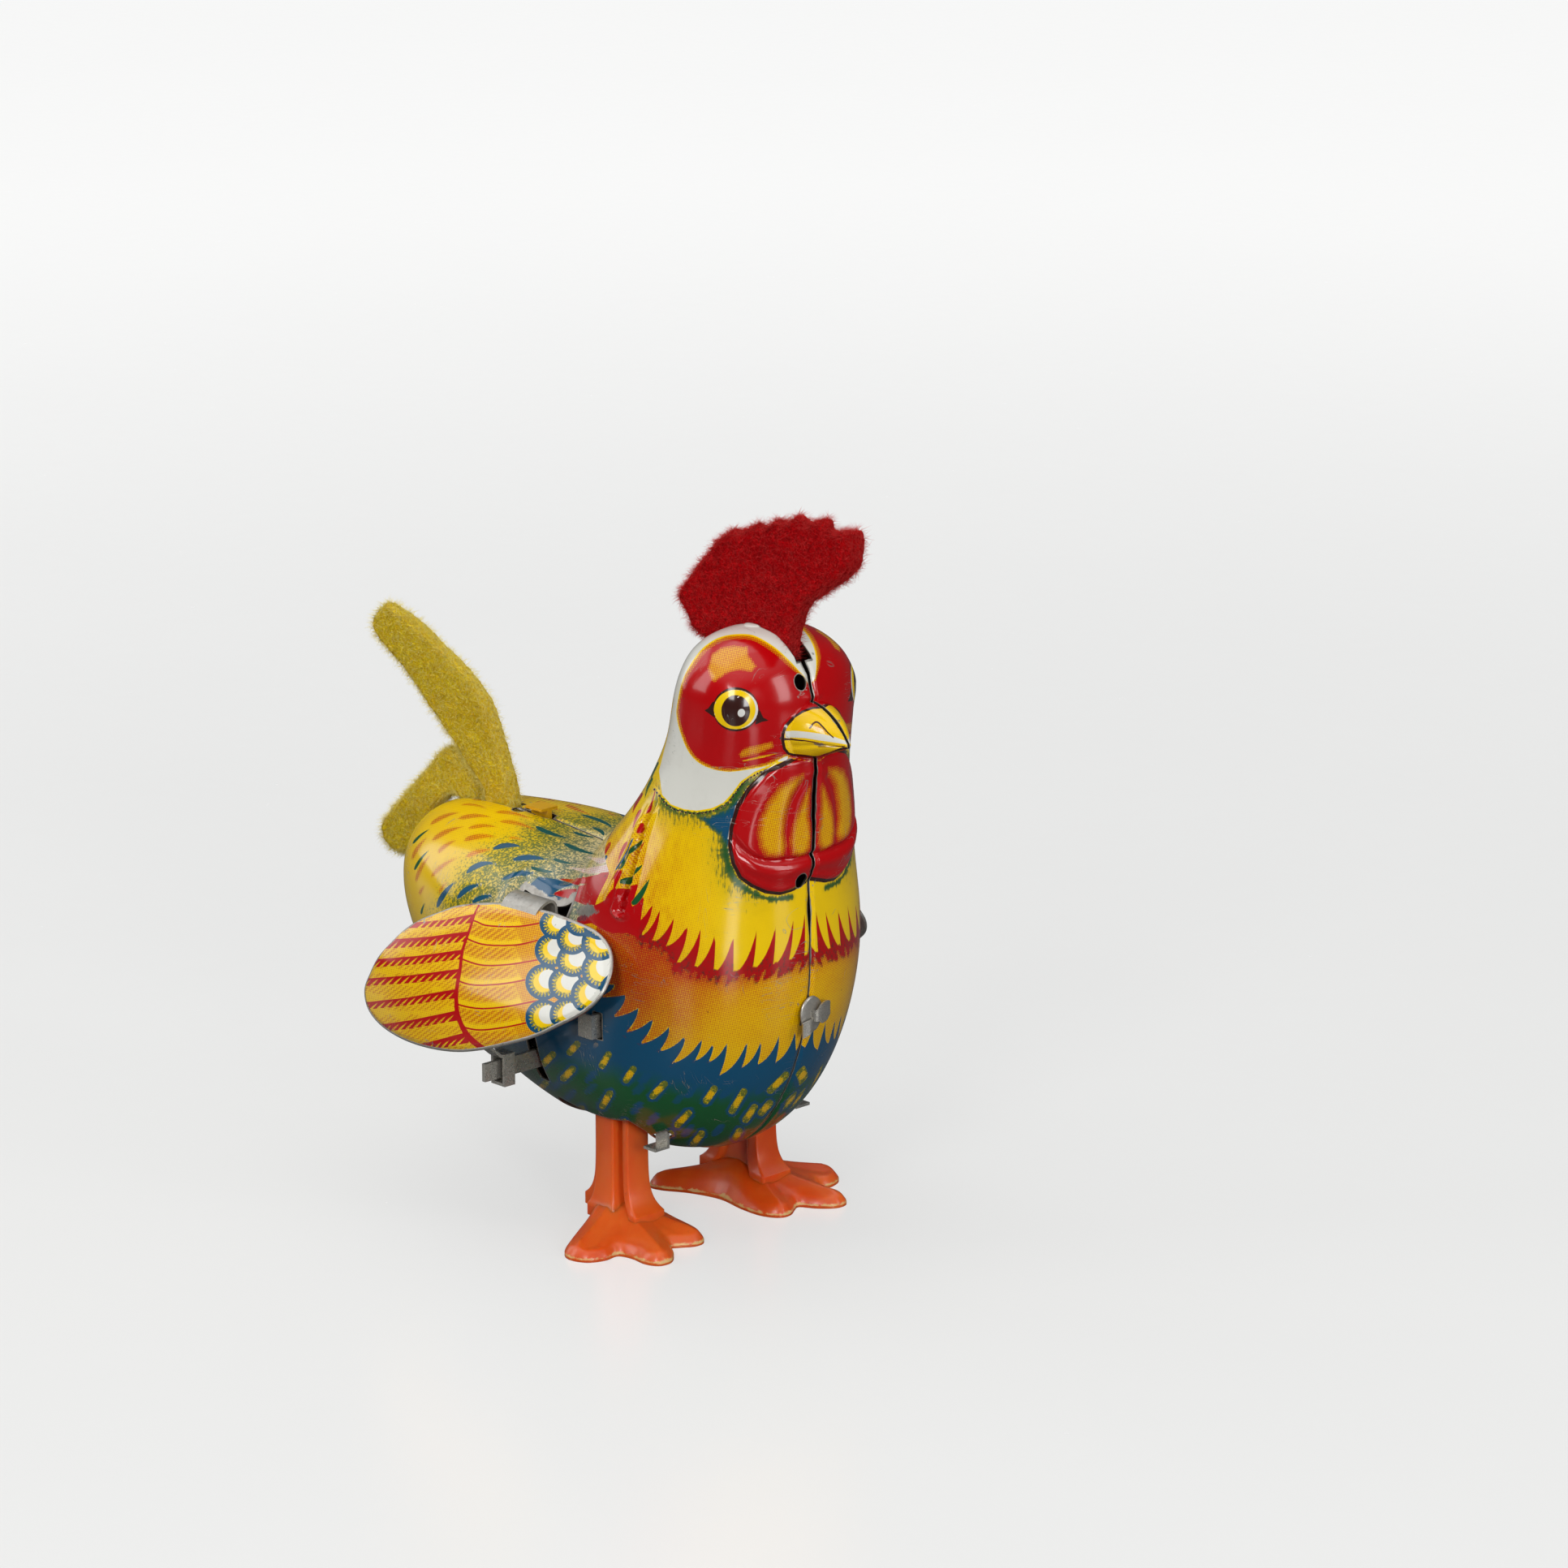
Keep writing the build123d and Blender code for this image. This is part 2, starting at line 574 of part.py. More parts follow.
def gear(teeth, centre, phase, y0, y1, bore_sides, bore_apothem):
    blank = prism_y(gear_outline(teeth, centre, phase), y0, y1)
    return blank - prism_y(polygon(centre, bore_sides, bore_apothem), y0 - 1, y1 + 1)


def save_gear_train():
    for name, teeth, centre, mate, y0, y1, sides, apothem, ring_r, hole in WHEELS:
        wheel = gear(teeth, centre, direction(centre, mate), y0, y1, sides, apothem)
        for k in range(5):
            middle = polar(centre, ring_r, 2 * math.pi * k / 5 + 0.3)
            wheel = wheel - prism_y(polygon(middle, 8, hole), y0 - 1, y1 + 1)
        save(wheel, name)
    for name, teeth, centre, mate, y0, y1, apothem in PINIONS:
        phase = direction(centre, mate) + math.pi / teeth
        save(gear(teeth, centre, phase, y0, y1, 6, apothem), name)
    for name, centre, radius, half, apothem, hex_half in HEX_ARBORS:
        hexagon = prism_y(polygon(centre, 6, apothem), -hex_half, hex_half)
        save(cyl_y(centre, radius, -half, half) + hexagon, name)


def pointed_wheel(centre, count, tip_r, root_r, lead):
    """Outline of pointed teeth; each root lies at the angle lead after its tip."""
    points = []
    for k in range(count):
        angle = 2 * math.pi * k / count
        points += [polar(centre, tip_r, angle), polar(centre, root_r, angle + lead)]
    return points


# ------------------------------------------------------- winding and spring
CLICK_PIVOT = polar(WIND, 7.9, math.radians(250))
CLICK_PIVOT_R = 0.7
ARBOR_END = 24.6

KEY_HALF = [  # X from the arbor, Y; the other half is its mirror image
    (-1.6, 25.0), (-1.6, 27.2), (-4.0, 26.6), (-6.6, 27.6), (-7.4, 29.8), (-6.8, 32.2),
    (-4.6, 33.4), (-2.2, 32.6), (-0.6, 30.6)]


def winding_arbor():
    arbor = cyl_y(WIND, WIND_R, -PLATE_Y - 0.9, ARBOR_END)
    return arbor + cyl_y(WIND, 2.6, -8.2, -7.4)


def ratchet_wheel():
    outline = pointed_wheel(WIND, count=12, tip_r=4.4, root_r=3.3, lead=0.04)
    return bore(prism_y(outline, *CLICK_Y), WIND, WIND_R)


def click():
    x, z = CLICK_PIVOT
    tip = polar(WIND, 4.75, math.radians(222))
    path = [(x, z), ((x + tip[0]) / 2 - 0.5, (z + tip[1]) / 2 - 0.5), tip]
    pawl = prism_y(strip(path, 1.3), *CLICK_Y) + cyl_y(CLICK_PIVOT, 1.5, *CLICK_Y)
    return bore(pawl, CLICK_PIVOT, CLICK_PIVOT_R)


def click_rivet():
    rivet = cyl_y(CLICK_PIVOT, CLICK_PIVOT_R, 4.4, 6.2) + cyl_y(CLICK_PIVOT, 1.2, 4.4, 4.9)
    return rivet + cyl_y(CLICK_PIVOT, 1.2, 5.7, 6.2)


def click_spring():
    path = [polar(WIND, 9.2, math.radians(k)) for k in range(150, 236, 8)]
    return prism_y(strip(path, 0.35), 5.0, 6.2)


def mainspring():
    """Open flat coil, from the arbor out to a hook round the rearmost pillar."""
    turns = 6.5
    inner_r, outer_r = 2.55, 8.6
    steps = int(turns * 16)
    x, z = PILLARS[0]
    end_angle = direction(WIND, PILLARS[0])
    coil = []
    for k in range(steps + 1):
        f = k / steps
        radius = inner_r + (outer_r - inner_r) * f ** 1.15
        coil.append(polar(WIND, radius, end_angle - 2 * math.pi * turns * (1 - f)))
    coil += [(x + 1.2, z - 2.6), (x + 2.2, z - 0.2), (x + 1.1, z + 2.0)]
    return prism_y(strip(coil, 0.28), -6.6, 3.6)


def winding_key():
    """Butterfly plate with a hole in each wing, on a sleeve."""
    x, z = WIND
    outline = KEY_HALF + [(-dx, y) for dx, y in reversed(KEY_HALF)]
    plate = prism_z([(x + dx, y) for dx, y in outline], *around(z, 0.5))
    for dx in (-4.4, 4.4):
        plane = Plane(origin=(x + dx, 30.0, z - 1.5), z_dir=(0, 0, 1))
        plate = plate - Solid.make_cylinder(1.5, 3, plane)
    return cyl_y(WIND, 2.9, ARBOR_END + 1.0, 28.0) + plate


# ------------------------------------------------------ cranks and escapement
def crank(side):
    """Disc and pin; side is 1 on the left and -1 on the right, half a turn apart."""
    pin = polar(CRANK, side * CRANK_THROW, direction(CRANK, HIP) + math.pi / 2)
    disc = bore(cyl_y(CRANK, 4.6, side * 9.9, side * 10.7), CRANK, CRANK_R)
    return disc + cyl_y(pin, 0.9, side * 10.7, side * 11.7)


def star_wheel():
    outline = pointed_wheel(ESCAPE, count=15, tip_r=5.0, root_r=3.9, lead=0.20)
    return prism_y(outline, *ESCAPEMENT_Y) - prism_y(polygon(ESCAPE, 6, ESCAPE_HEX), -5, 0)


def pallet_arbor():
    return cyl_y(PALLET, PALLET_R, -PLATE_Y - 0.7, PLATE_Y + 0.7)


def pallet():
    """Hub with two bent arms towards the star wheel and a stem down to the weight."""
    x, z = PALLET
    arms = [  # path from the hub, width
        ([PALLET, (x - 2.2, z + 4.8), (x - 4.2, z + 5.8)], 1.0),
        ([PALLET, (x - 1.6, z - 3.4), (x - 4.0, z - 2.6)], 1.0),
        ([PALLET, (x + 0.4, z - 8.4)], 1.4),
    ]
    body = cyl_y(PALLET, 1.7, *ESCAPEMENT_Y)
    for path, width in arms:
        body = body + prism_y(strip(path, width), *ESCAPEMENT_Y)
    return bore(body, PALLET, PALLET_R)


def pallet_weight():
    return cyl_y((PALLET[0] + 0.4, PALLET[1] - 9.2), 2.0, ESCAPEMENT_Y[1], 2.4)


# ------------------------------------------------------------ legs and feet
FOOT = [  # X, Y on the ground
    (-12.6, 6.0), (-11.4, 3.6), (-8.6, 4.0), (-4.0, 6.6), (2.0, 8.2), (8.0, 7.2),
    (12.6, 7.0), (15.2, 9.4), (13.6, 12.2), (10.6, 14.2), (13.4, 15.6), (17.2, 17.6),
    (18.2, 20.6), (15.6, 22.2), (11.4, 21.4), (8.2, 21.2), (8.6, 24.4), (7.4, 28.2),
    (4.2, 29.0), (2.0, 26.4), (0.0, 21.8), (-2.6, 17.4), (-6.4, 12.8), (-11.0, 9.4)]
FOOT_CENTRE = (2.5, 15.0)     # the outline shrinks towards this point going up


def hip_rod():
    return cyl_y(HIP, HIP_R, -13.6, 13.6)


def hip_collars():
    return Compound([
        solid_of(bore(cyl_y(HIP, 2.0, side * 12.95, side * 13.6), HIP, HIP_R))
        for side in (-1, 1)])


def leg_arm():
    """Flat arm hung on the hip rod, with a slot for the crank pin at its top."""
    hip_x, hip_z = HIP
    reach = math.hypot(CRANK[0] - hip_x, CRANK[1] - hip_z)
    ux, uz = (CRANK[0] - hip_x) / reach, (CRANK[1] - hip_z) / reach

    def from_crank(along, across=0.0):
        """Point beyond the crank arbor on the line from the hip, then square to it."""
        return (CRANK[0] + ux * along + uz * across, CRANK[1] + uz * along - ux * across)

    outline = [(hip_x + 3.2, 20.0), (hip_x + 3.4, hip_z + 2.0), (hip_x + 0.6, hip_z + 3.8),
               from_crank(3.2, 2.9), from_crank(4.8), from_crank(3.2, -2.9),
               (hip_x - 3.4, hip_z - 1.6), (hip_x - 3.2, 20.0)]
    arm = prism_y(outline, *ARM_Y)
    arm = arm - prism_y(strip([from_crank(-3.4), from_crank(2.6)], 2.0), 10, 15)
    arm = bore(arm, HIP, HIP_R + PIVOT_CLEAR)
    for centre in RIVETS:
        arm = bore(arm, centre, RIVET_R)
    return arm


def foot_wire(z, scale):
    cx, cy = FOOT_CENTRE
    points = [Vector(cx + (x - cx) * scale, cy + (y - cy) * scale, z) for x, y in FOOT]
    return Wire([Edge.make_spline(points, periodic=True)])


def leg():
    """Foot and column in one, recessed on the column's outer and inner faces."""
    lower = [foot_wire(0.0, 1.0), foot_wire(1.6, 0.97), foot_wire(3.6, 0.80)]
    upper = [foot_wire(3.6, 0.80), foot_wire(6.4, 0.42)]
    foot = Solid.make_loft(lower, ruled=True) + Solid.make_loft(upper, ruled=True)
    column = box((-4.4, 6.4), LEG_Y, (3.0, 29.8))
    column = column - box((-2.0, 4.0), (17.0, 20), (8.0, 31))
    column = column - box((-1.4, 3.4), (12.0, LEG_Y[0] + 0.01), (7, 19.5))
    body = foot + column
    for centre in RIVETS:
        body = bore(body, centre, RIVET_R)
    return body


def leg_rivets():
    return Compound([
        solid_of(cyl_y(centre, RIVET_R, 12.0, 17.0) + cyl_y(centre, 1.3, 11.5, 12.0)
                 + cyl_y(centre, 1.3, 17.0, 17.5))
        for centre in RIVETS])


# -------------------------------------------------------------------- build
# Each file takes the name of the function that builds its piece.
SINGLES = (breast_clip, back_tab, comb_felt, tail_felt, movement_pillars, winding_arbor,
           ratchet_wheel, click, click_rivet, click_spring, mainspring, winding_key,
           star_wheel, pallet_arbor, pallet, pallet_weight, hip_rod, hip_collars)
PAIRS = (wing, wing_loop, wing_lever, lever_pin, movement_plate, leg_arm, leg, leg_rivets)

os.makedirs("parts", exist_ok=True)
save_body_shells()
save_gear_train()
save(crank(1), "left_crank")
save(crank(-1), "right_crank")
for build in SINGLES:
    save(build(), build.__name__)
for build in PAIRS:
    piece = build()
    save(piece, "left_" + build.__name__)
    save(mirrored(piece), "right_" + build.__name__)
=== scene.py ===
# A wind-up tin rooster: two printed half shells, hooked-on wings, a felt comb and tail, moulded
# legs, and the carried CAD pieces. It stands on the floor z = 0, beak towards +x, right side
# towards -y. Pieces are laid out in millimetres about a station between the ankles; SHIFT moves
# that station along x into the frame's row, and mesh_object turns millimetres into metres.
import json
from math import atan2, cos, exp, hypot, pi, radians, sin

import bmesh
import bpy
import numpy as np
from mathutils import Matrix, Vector


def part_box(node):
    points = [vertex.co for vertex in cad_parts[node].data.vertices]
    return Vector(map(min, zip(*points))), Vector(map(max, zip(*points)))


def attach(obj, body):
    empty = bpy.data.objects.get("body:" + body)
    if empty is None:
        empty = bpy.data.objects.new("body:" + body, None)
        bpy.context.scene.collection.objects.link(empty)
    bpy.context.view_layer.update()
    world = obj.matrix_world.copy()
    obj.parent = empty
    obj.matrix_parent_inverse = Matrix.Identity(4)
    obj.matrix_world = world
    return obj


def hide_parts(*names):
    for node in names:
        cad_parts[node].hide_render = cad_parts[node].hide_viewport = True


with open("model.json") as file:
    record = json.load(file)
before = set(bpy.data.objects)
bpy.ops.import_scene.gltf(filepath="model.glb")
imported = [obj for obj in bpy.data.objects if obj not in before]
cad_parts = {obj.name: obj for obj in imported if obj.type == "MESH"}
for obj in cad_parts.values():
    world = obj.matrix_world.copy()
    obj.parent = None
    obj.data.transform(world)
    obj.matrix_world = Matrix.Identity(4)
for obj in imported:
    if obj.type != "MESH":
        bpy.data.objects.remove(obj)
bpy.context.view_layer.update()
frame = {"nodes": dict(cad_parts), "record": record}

rod_low, rod_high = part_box("hip_rod")
SHIFT = ((rod_low.x + rod_high.x) / 2 - 0.001) * 1000.0
COARSE = 1.0          # divides the grid counts
COARSE_STEP = 1.0     # multiplies the grid steps
CREASE = 35                             # degrees, sharp edges of the sheet metal


# ------------------------------------------------------------------ shape helpers
def smooth(start, end, value):
    """Smooth step from 0 at start to 1 at end; start may lie above end."""
    t = np.clip((np.asarray(value, float) - start) / (end - start), 0, 1)
    return t * t * (3 - 2 * t)


def hash1(value, seed=0.0):
    return np.mod(np.sin(np.asarray(value, float) * 127.1 + seed * 311.7) * 43758.5453, 1.0)


def noise2(x, y, seed=0.0):
    """Smooth value noise on a unit grid."""
    i, j = np.floor(x), np.floor(y)
    f, g = x - i, y - j
    f, g = f * f * (3 - 2 * f), g * g * (3 - 2 * g)

    def corner(a, b):
        return np.mod(np.sin(a * 127.1 + b * 311.7 + seed * 74.7) * 43758.5453, 1.0)
    low = corner(i, j) * (1 - f) + corner(i + 1, j) * f
    return low * (1 - g) + (corner(i, j + 1) * (1 - f) + corner(i + 1, j + 1) * f) * g


def natural_spline(table):
    """Natural cubic spline through the rows of a table, as a function of the row number."""
    table = np.asarray(table, float)
    count = len(table)
    matrix = np.zeros((count, count))
    right = np.zeros_like(table)
    matrix[0, 0] = matrix[-1, -1] = 1
    for i in range(1, count - 1):
        matrix[i, i - 1:i + 2] = (1, 4, 1)
        right[i] = 6 * (table[i + 1] - 2 * table[i] + table[i - 1])
    bend = np.linalg.solve(matrix, right)

    def at(row):
        row = np.asarray(row, float)
        i = np.clip(np.floor(row).astype(int), 0, count - 2)
        t = (row - i)[..., None]
        s = 1 - t
        return (s * table[i] + t * table[i + 1]
                + ((s ** 3 - s) * bend[i] + (t ** 3 - t) * bend[i + 1]) / 6)
    return at


def curve(points, steps=8, closed=False):
    """Smooth line through the points, with a number of steps from each to the next."""
    points = np.asarray(points, float)
    count = len(points)
    out = []
    for i in range(count if closed else count - 1):
        around = range(i - 1, i + 3)
        a, b, c, d = (points[j % count if closed else min(max(j, 0), count - 1)] for j in around)
        for k in range(steps):
            t = k / steps
            out.append(0.5 * (2 * b + (c - a) * t + (2 * a - 5 * b + 4 * c - d) * t * t
                              + (3 * b - a - 3 * c + d) * t ** 3))
    if not closed:
        out.append(points[-1])
    return np.array(out)


def bow(start, pull, end, fractions):
    """Points at the fractions of a quadratic arc."""
    t = np.asarray(fractions)[:, None]
    return (1 - t) ** 2 * start + 2 * t * (1 - t) * pull + t * t * end


def outline_distance(points, outline):
    """Distance to a closed outline, negative inside."""
    nearest = np.full(len(points), 1e18)
    inside = np.zeros(len(points), bool)
    outline = np.asarray(outline, float)
    for a, b in zip(outline, np.roll(outline, -1, axis=0)):
        edge = b - a
        square = edge @ edge
        if square < 1e-12:
            continue
        off = points - a
        t = np.clip((off @ edge) / square, 0, 1)
        gap = off - t[:, None] * edge
        nearest = np.minimum(nearest, (gap * gap).sum(1))
        rising = (a[1] <= points[:, 1]) & (b[1] > points[:, 1])
        falling = (a[1] > points[:, 1]) & (b[1] <= points[:, 1])
        turn = edge[0] * off[:, 1] - edge[1] * off[:, 0]
        inside ^= (rising & (turn > 0)) | (falling & (turn < 0))
    distance = np.sqrt(nearest)
    return np.where(inside, -distance, distance)


def line_distance(points, line):
    """Distance to an open line, place along it, side (sign of the turn) and the line's length."""
    best = np.full(len(points), 1e18)
    along = np.zeros(len(points))
    side = np.zeros(len(points))
    travel = 0.0
    line = np.asarray(line, float)
    for a, b in zip(line, line[1:]):
        edge = b - a
        length = hypot(*edge)
        if length < 1e-9:
            continue
        off = points - a
        t = np.clip((off @ edge) / (length * length), 0, 1)
        gap = off - t[:, None] * edge
        square = (gap * gap).sum(1)
        closer = square < best
        best[closer] = square[closer]
        along[closer] = travel + t[closer] * length
        side[closer] = np.sign(edge[0] * off[closer, 1] - edge[1] * off[closer, 0])
        travel += length
    return np.sqrt(best), along, side, travel


def box_distance(a, b, centre_a, centre_b, half_a, half_b):
    return np.maximum(np.abs(a - centre_a) - half_a, np.abs(b - centre_b) - half_b)


# ------------------------------------------------------------------ drawing plane
# The print of the right half is laid out on a plane seen from 46 degrees forward of the right
# side and 15 degrees above; the left half carries its mirror image. The drawing, like the ink
# distances stored on the mesh, is in sevenths of a millimetre, x to the right and y down.
AZIMUTH, ELEVATION = radians(46), radians(15)
BACK = np.array([sin(AZIMUTH) * cos(ELEVATION), -cos(AZIMUTH) * cos(ELEVATION), sin(ELEVATION)])
RIGHT = np.array([cos(AZIMUTH), sin(AZIMUTH), 0.0])
UP = np.array([-sin(ELEVATION) * sin(AZIMUTH), sin(ELEVATION) * cos(AZIMUTH), cos(ELEVATION)])
AIM = np.array([-0.98, 26.77, 72.03])
DISTANCE = 900.0                        # mm from the eye to the aim
FIELD = 276.0                           # mm of width in view at the aim
UNITS = 7.0                             # drawing units to the millimetre
EYE = AIM + DISTANCE * BACK


def project(points):
    off = points - EYE
    depth = -(off @ BACK)
    centre, scale = UNITS * FIELD / 2, UNITS * DISTANCE
    return np.stack([centre + scale * (off @ RIGHT) / depth,
                     centre - scale * (off @ UP) / depth], -1)


def sheet(left, top, scale):
    """An enlarged detail drawing, given by its corner on the plane and its enlargement."""
    return lambda points: [(left + x / scale, top + y / scale) for x, y in points]


BODY_SCALE, WING_SCALE, RUMP_SCALE = 4.48, 4.356, 4.9
WING_LEFT, WING_TOP = 440, 1000
HEAD = sheet(820, 740, 5.807)
NECK = sheet(720, 930, BODY_SCALE)
BELLY = sheet(720, 1180, BODY_SCALE)
WING = sheet(WING_LEFT, WING_TOP, WING_SCALE)
RUMP = sheet(480, 960, RUMP_SCALE)


class Print:
    """Inks Y, R, B (yellow, red, blue), K (dark) and W (white) as signed distances in drawing
    units, positive inside, and screened tints of Y, R and B from 0 to 1."""

    def __init__(self, points):
        self.points = points
        self.x, self.y = points[:, 0], points[:, 1]
        self.only = None                # mask that limits where ink may go
        self.ink = {k: np.full(len(points), -9.0) for k in "YRBKW"}
        self.tint = {k: np.zeros(len(points)) for k in "YRB"}
        self.ink["Y"][:] = 9.0

    def near(self, shape, margin=10.0):
        shape = np.asarray(shape, float)
        low, high = shape.min(0) - margin, shape.max(0) + margin
        mask = ((self.points > low) & (self.points < high)).all(1)
        if self.only is not None:
            mask &= self.only
        return np.nonzero(mask)[0]

    def depth(self, outline, margin=10.0):
        """The points near an outline, and how deep inside it they lie."""
        near = self.near(outline, margin)
        return near, -outline_distance(self.points[near], outline)

    def local(self, centre, angle, margin):
        """The points near a centre, and their offsets along and across the angle."""
        near = self.near([centre], margin)
        off = self.points[near] - centre
        return near, off @ [cos(angle), sin(angle)], off @ [-sin(angle), cos(angle)]

    def blank(self, outline, limit):
        """Clears the tints deeper than the limit inside an outline."""
        near, depth = self.depth(outline, 4)
        inside = near[depth > limit]
        self.clear(inside)
        return inside

    def clear(self, where, tints="YRB"):
        for k in tints:
            self.tint[k][where] = 0.0

    def put(self, near, depth, inks):
        self.clear(near[depth > 0.3], [k for k in "YRB" if k not in inks])
        for k, ink in self.ink.items():
            old = ink[near]
            ink[near] = np.maximum(old, depth) if k in inks else np.minimum(old, -depth)

    def fill(self, outline, inks, inset=0.0):
        near, depth = self.depth(outline)
        self.put(near, depth - inset, inks)

    def line(self, points, width, inks, end_width=None):
        near = self.near(points)
        distance, along, _, length = line_distance(self.points[near], points)
        if end_width is not None:
            width = width + (end_width - width) * along / length
        self.put(near, width / 2 - distance, inks)

    def ellipse(self, centre, radius_x, radius_y, inks, angle=0.0):
        t = np.linspace(0, 2 * pi, 28, endpoint=False)
        a, b = radius_x * np.cos(t), radius_y * np.sin(t)
        c, s = cos(angle), sin(angle)
        self.fill(np.stack([centre[0] + a * c - b * s, centre[1] + a * s + b * c], 1), inks)

    def leaf(self, start, end, width, inks, bend=0.0, blunt=0.5, tint=None):
        """A painted stroke that bulges sideways by bend of its length."""
        start, end = np.array(start, float), np.array(end, float)
        run = end - start
        length = hypot(*run)
        normal = np.array([-run[1], run[0]]) / length
        t = np.linspace(0, 1, 13)
        middle = start + np.outer(t, run) + np.outer(4 * t * (1 - t) * bend * length, normal)
        half = (np.sin(np.pi * t ** blunt) ** 0.8 * width / 2)[:, None] * normal
        outline = np.vstack([middle + half, (middle - half)[::-1]])
        self.fill(outline, inks)
        if tint:
            self.shade(outline, tint[0], tint[1], 0.8)

    def shade(self, outline, k, value, blur):
        """Sets the tint k to the value inside the outline, with a soft edge."""
        near, depth = self.depth(outline, blur + 2)
        share = smooth(-blur, blur, depth)
        self.tint[k][near] = self.tint[k][near] * (1 - share) + value * share

    def gold(self, outline, value, blur):
        """Opens the red solid into a screen that thins from the outline inwards."""
        self.fill(outline, "Y")
        near, depth = self.depth(outline, 2)
        ragged = 1.6 * (noise2(self.x[near] / 1.7, self.y[near] / 9.0, 31) - 0.5)
        screen = 1.0 + (value - 1.0) * smooth(-0.5, blur, depth + ragged)
        inside = depth > -1.5
        self.tint["R"][near[inside]] = screen[inside]

    def teeth(self, tips, valleys, inks, foot=9.0):
        """Saw teeth that lean right: each rises from the valley on its left to its tip."""
        tips, valleys = np.array(tips, float), np.array(valleys, float)
        for first, tip, last in zip(valleys, tips[1:], valleys[1:]):
            rise_pull = first + (tip - first) * [0.67, 0.23]
            fall_pull = tip + [0.0, 0.5 * (last[1] - tip[1])]
            self.fill(np.vstack([bow(first, rise_pull, tip, np.linspace(0, 1, 7)),
                                 bow(tip, fall_pull, last, np.linspace(0, 1, 6)[1:]),
                                 [last + [-0.5, foot], first + [-0.5, foot]]]), inks)


# ------------------------------------------------------------------ body surface
# x and z of the back seam, x and z of the front seam, half width, roundness behind and in front,
# and the share of the section that lies behind its widest line; tail end first, crown last
SECTIONS = [
    (-65.0, 54.6, -64.8, 50.0, 2.6, 2.0, 2.0, .50), (-63.8, 58.2, -63.2, 44.8, 7.0, 2.1, 2.0, .50),
    (-60.4, 62.0, -59.6, 38.8, 11.4, 2.2, 2.0, .48),
    (-54.6, 64.4, -53.6, 32.8, 15.6, 2.3, 2.0, .46),
    (-46.0, 65.2, -44.5, 26.4, 19.8, 2.5, 2.1, .44),
    (-36.0, 65.1, -32.5, 21.0, 23.6, 2.7, 2.1, .42),
    (-27.0, 64.5, -19.0, 17.0, 25.4, 2.8, 2.2, .42), (-19.5, 63.8, -5.0, 14.6, 26.2, 2.8, 2.2, .44),
    (-14.6, 63.4, 9.0, 14.2, 26.2, 2.6, 2.1, .48), (-11.6, 64.6, 20.0, 19.0, 25.8, 2.4, 2.1, .50),
    (-9.8, 66.4, 28.4, 30.4, 25.3, 2.3, 2.05, .50), (-8.2, 68.8, 32.4, 43.0, 24.9, 2.2, 2.05, .50),
    (-5.6, 71.6, 33.4, 53.6, 23.8, 2.1, 2.05, .50), (-1.8, 75.6, 33.0, 63.6, 21.6, 2.1, 2.1, .50),
    (2.0, 80.6, 33.0, 73.0, 19.2, 2.1, 2.2, .50), (5.0, 85.8, 33.2, 81.6, 17.5, 2.1, 2.2, .50),
    (7.6, 91.0, 33.8, 89.6, 16.5, 2.2, 2.3, .50), (9.4, 96.4, 34.0, 97.0, 16.4, 2.3, 2.4, .50),
    (10.8, 101.2, 32.9, 102.2, 15.6, 2.3, 2.4, .50),
    (12.0, 105.2, 30.6, 105.8, 12.8, 2.2, 2.3, .50),
    (15.0, 107.8, 27.0, 108.2, 8.6, 2.1, 2.2, .50), (18.6, 109.0, 23.2, 109.1, 3.0, 2.0, 2.0, .50),
]
section_at = natural_spline(SECTIONS)
# first row, last row and count of the grid lines between them
ROW_SPANS = [(0, 3, 90), (3, 7, 110), (7, 10, 110), (10, 14, 140), (14, 19, 160), (19, 21, 50)]


def body_grid(rows, columns):
    """Right half surface, rows along the body and columns from the back to the front seam."""
    table = section_at(rows)
    angle = np.linspace(0, pi, 641)[None, :]
    xb, zb, xf, zf, width, round_back, round_front, split = (table[:, k:k + 1] for k in range(8))
    cosine, sine = np.cos(angle), np.sin(angle)
    power = np.where(cosine > 0, round_back, round_front)
    reach = np.sign(cosine) * np.abs(cosine) ** (2 / power)
    y = -width * np.abs(sine) ** (2 / power)
    t = split - reach * np.where(cosine > 0, split, 1 - split)
    x, z = xb + (xf - xb) * t, zb + (zf - zb) * t
    y[:, 0] = y[:, -1] = 0
    steps = np.sqrt(sum(np.diff(a, axis=1) ** 2 for a in (x, y, z)))
    arc = np.concatenate([np.zeros((len(rows), 1)), np.cumsum(steps, 1)], 1)
    grid = np.zeros((len(rows), columns, 3))
    travel = np.zeros((len(rows), columns))
    share = np.linspace(0, 1, columns)
    # closer together next to the seams
    share = share - 0.35 * np.sin(2 * pi * share) / (2 * pi)
    for i in range(len(rows)):
        travel[i] = share * arc[i, -1]
        for k, values in enumerate((x, y, z)):
            grid[i, :, k] = np.interp(travel[i], arc[i], values[i])
    return grid, travel


def cap_rows(row, count, direction):
    """Rows that close an open end with a small dome."""
    centre = (row[0] + row[-1]) / 2
    angles = [pi / 2 * i / count for i in range(1, count + 1)]
    return [centre + (row - centre) * max(cos(a), 0.04) + np.array(direction) * sin(a)
            for a in angles]


def grid_normals(grid):
    """Outward normals of a right half, whose columns run from its back or top seam."""
    normals = np.cross(np.gradient(grid, axis=1), np.gradient(grid, axis=0))
    return normals / np.maximum(np.linalg.norm(normals, axis=2, keepdims=True), 1e-9)


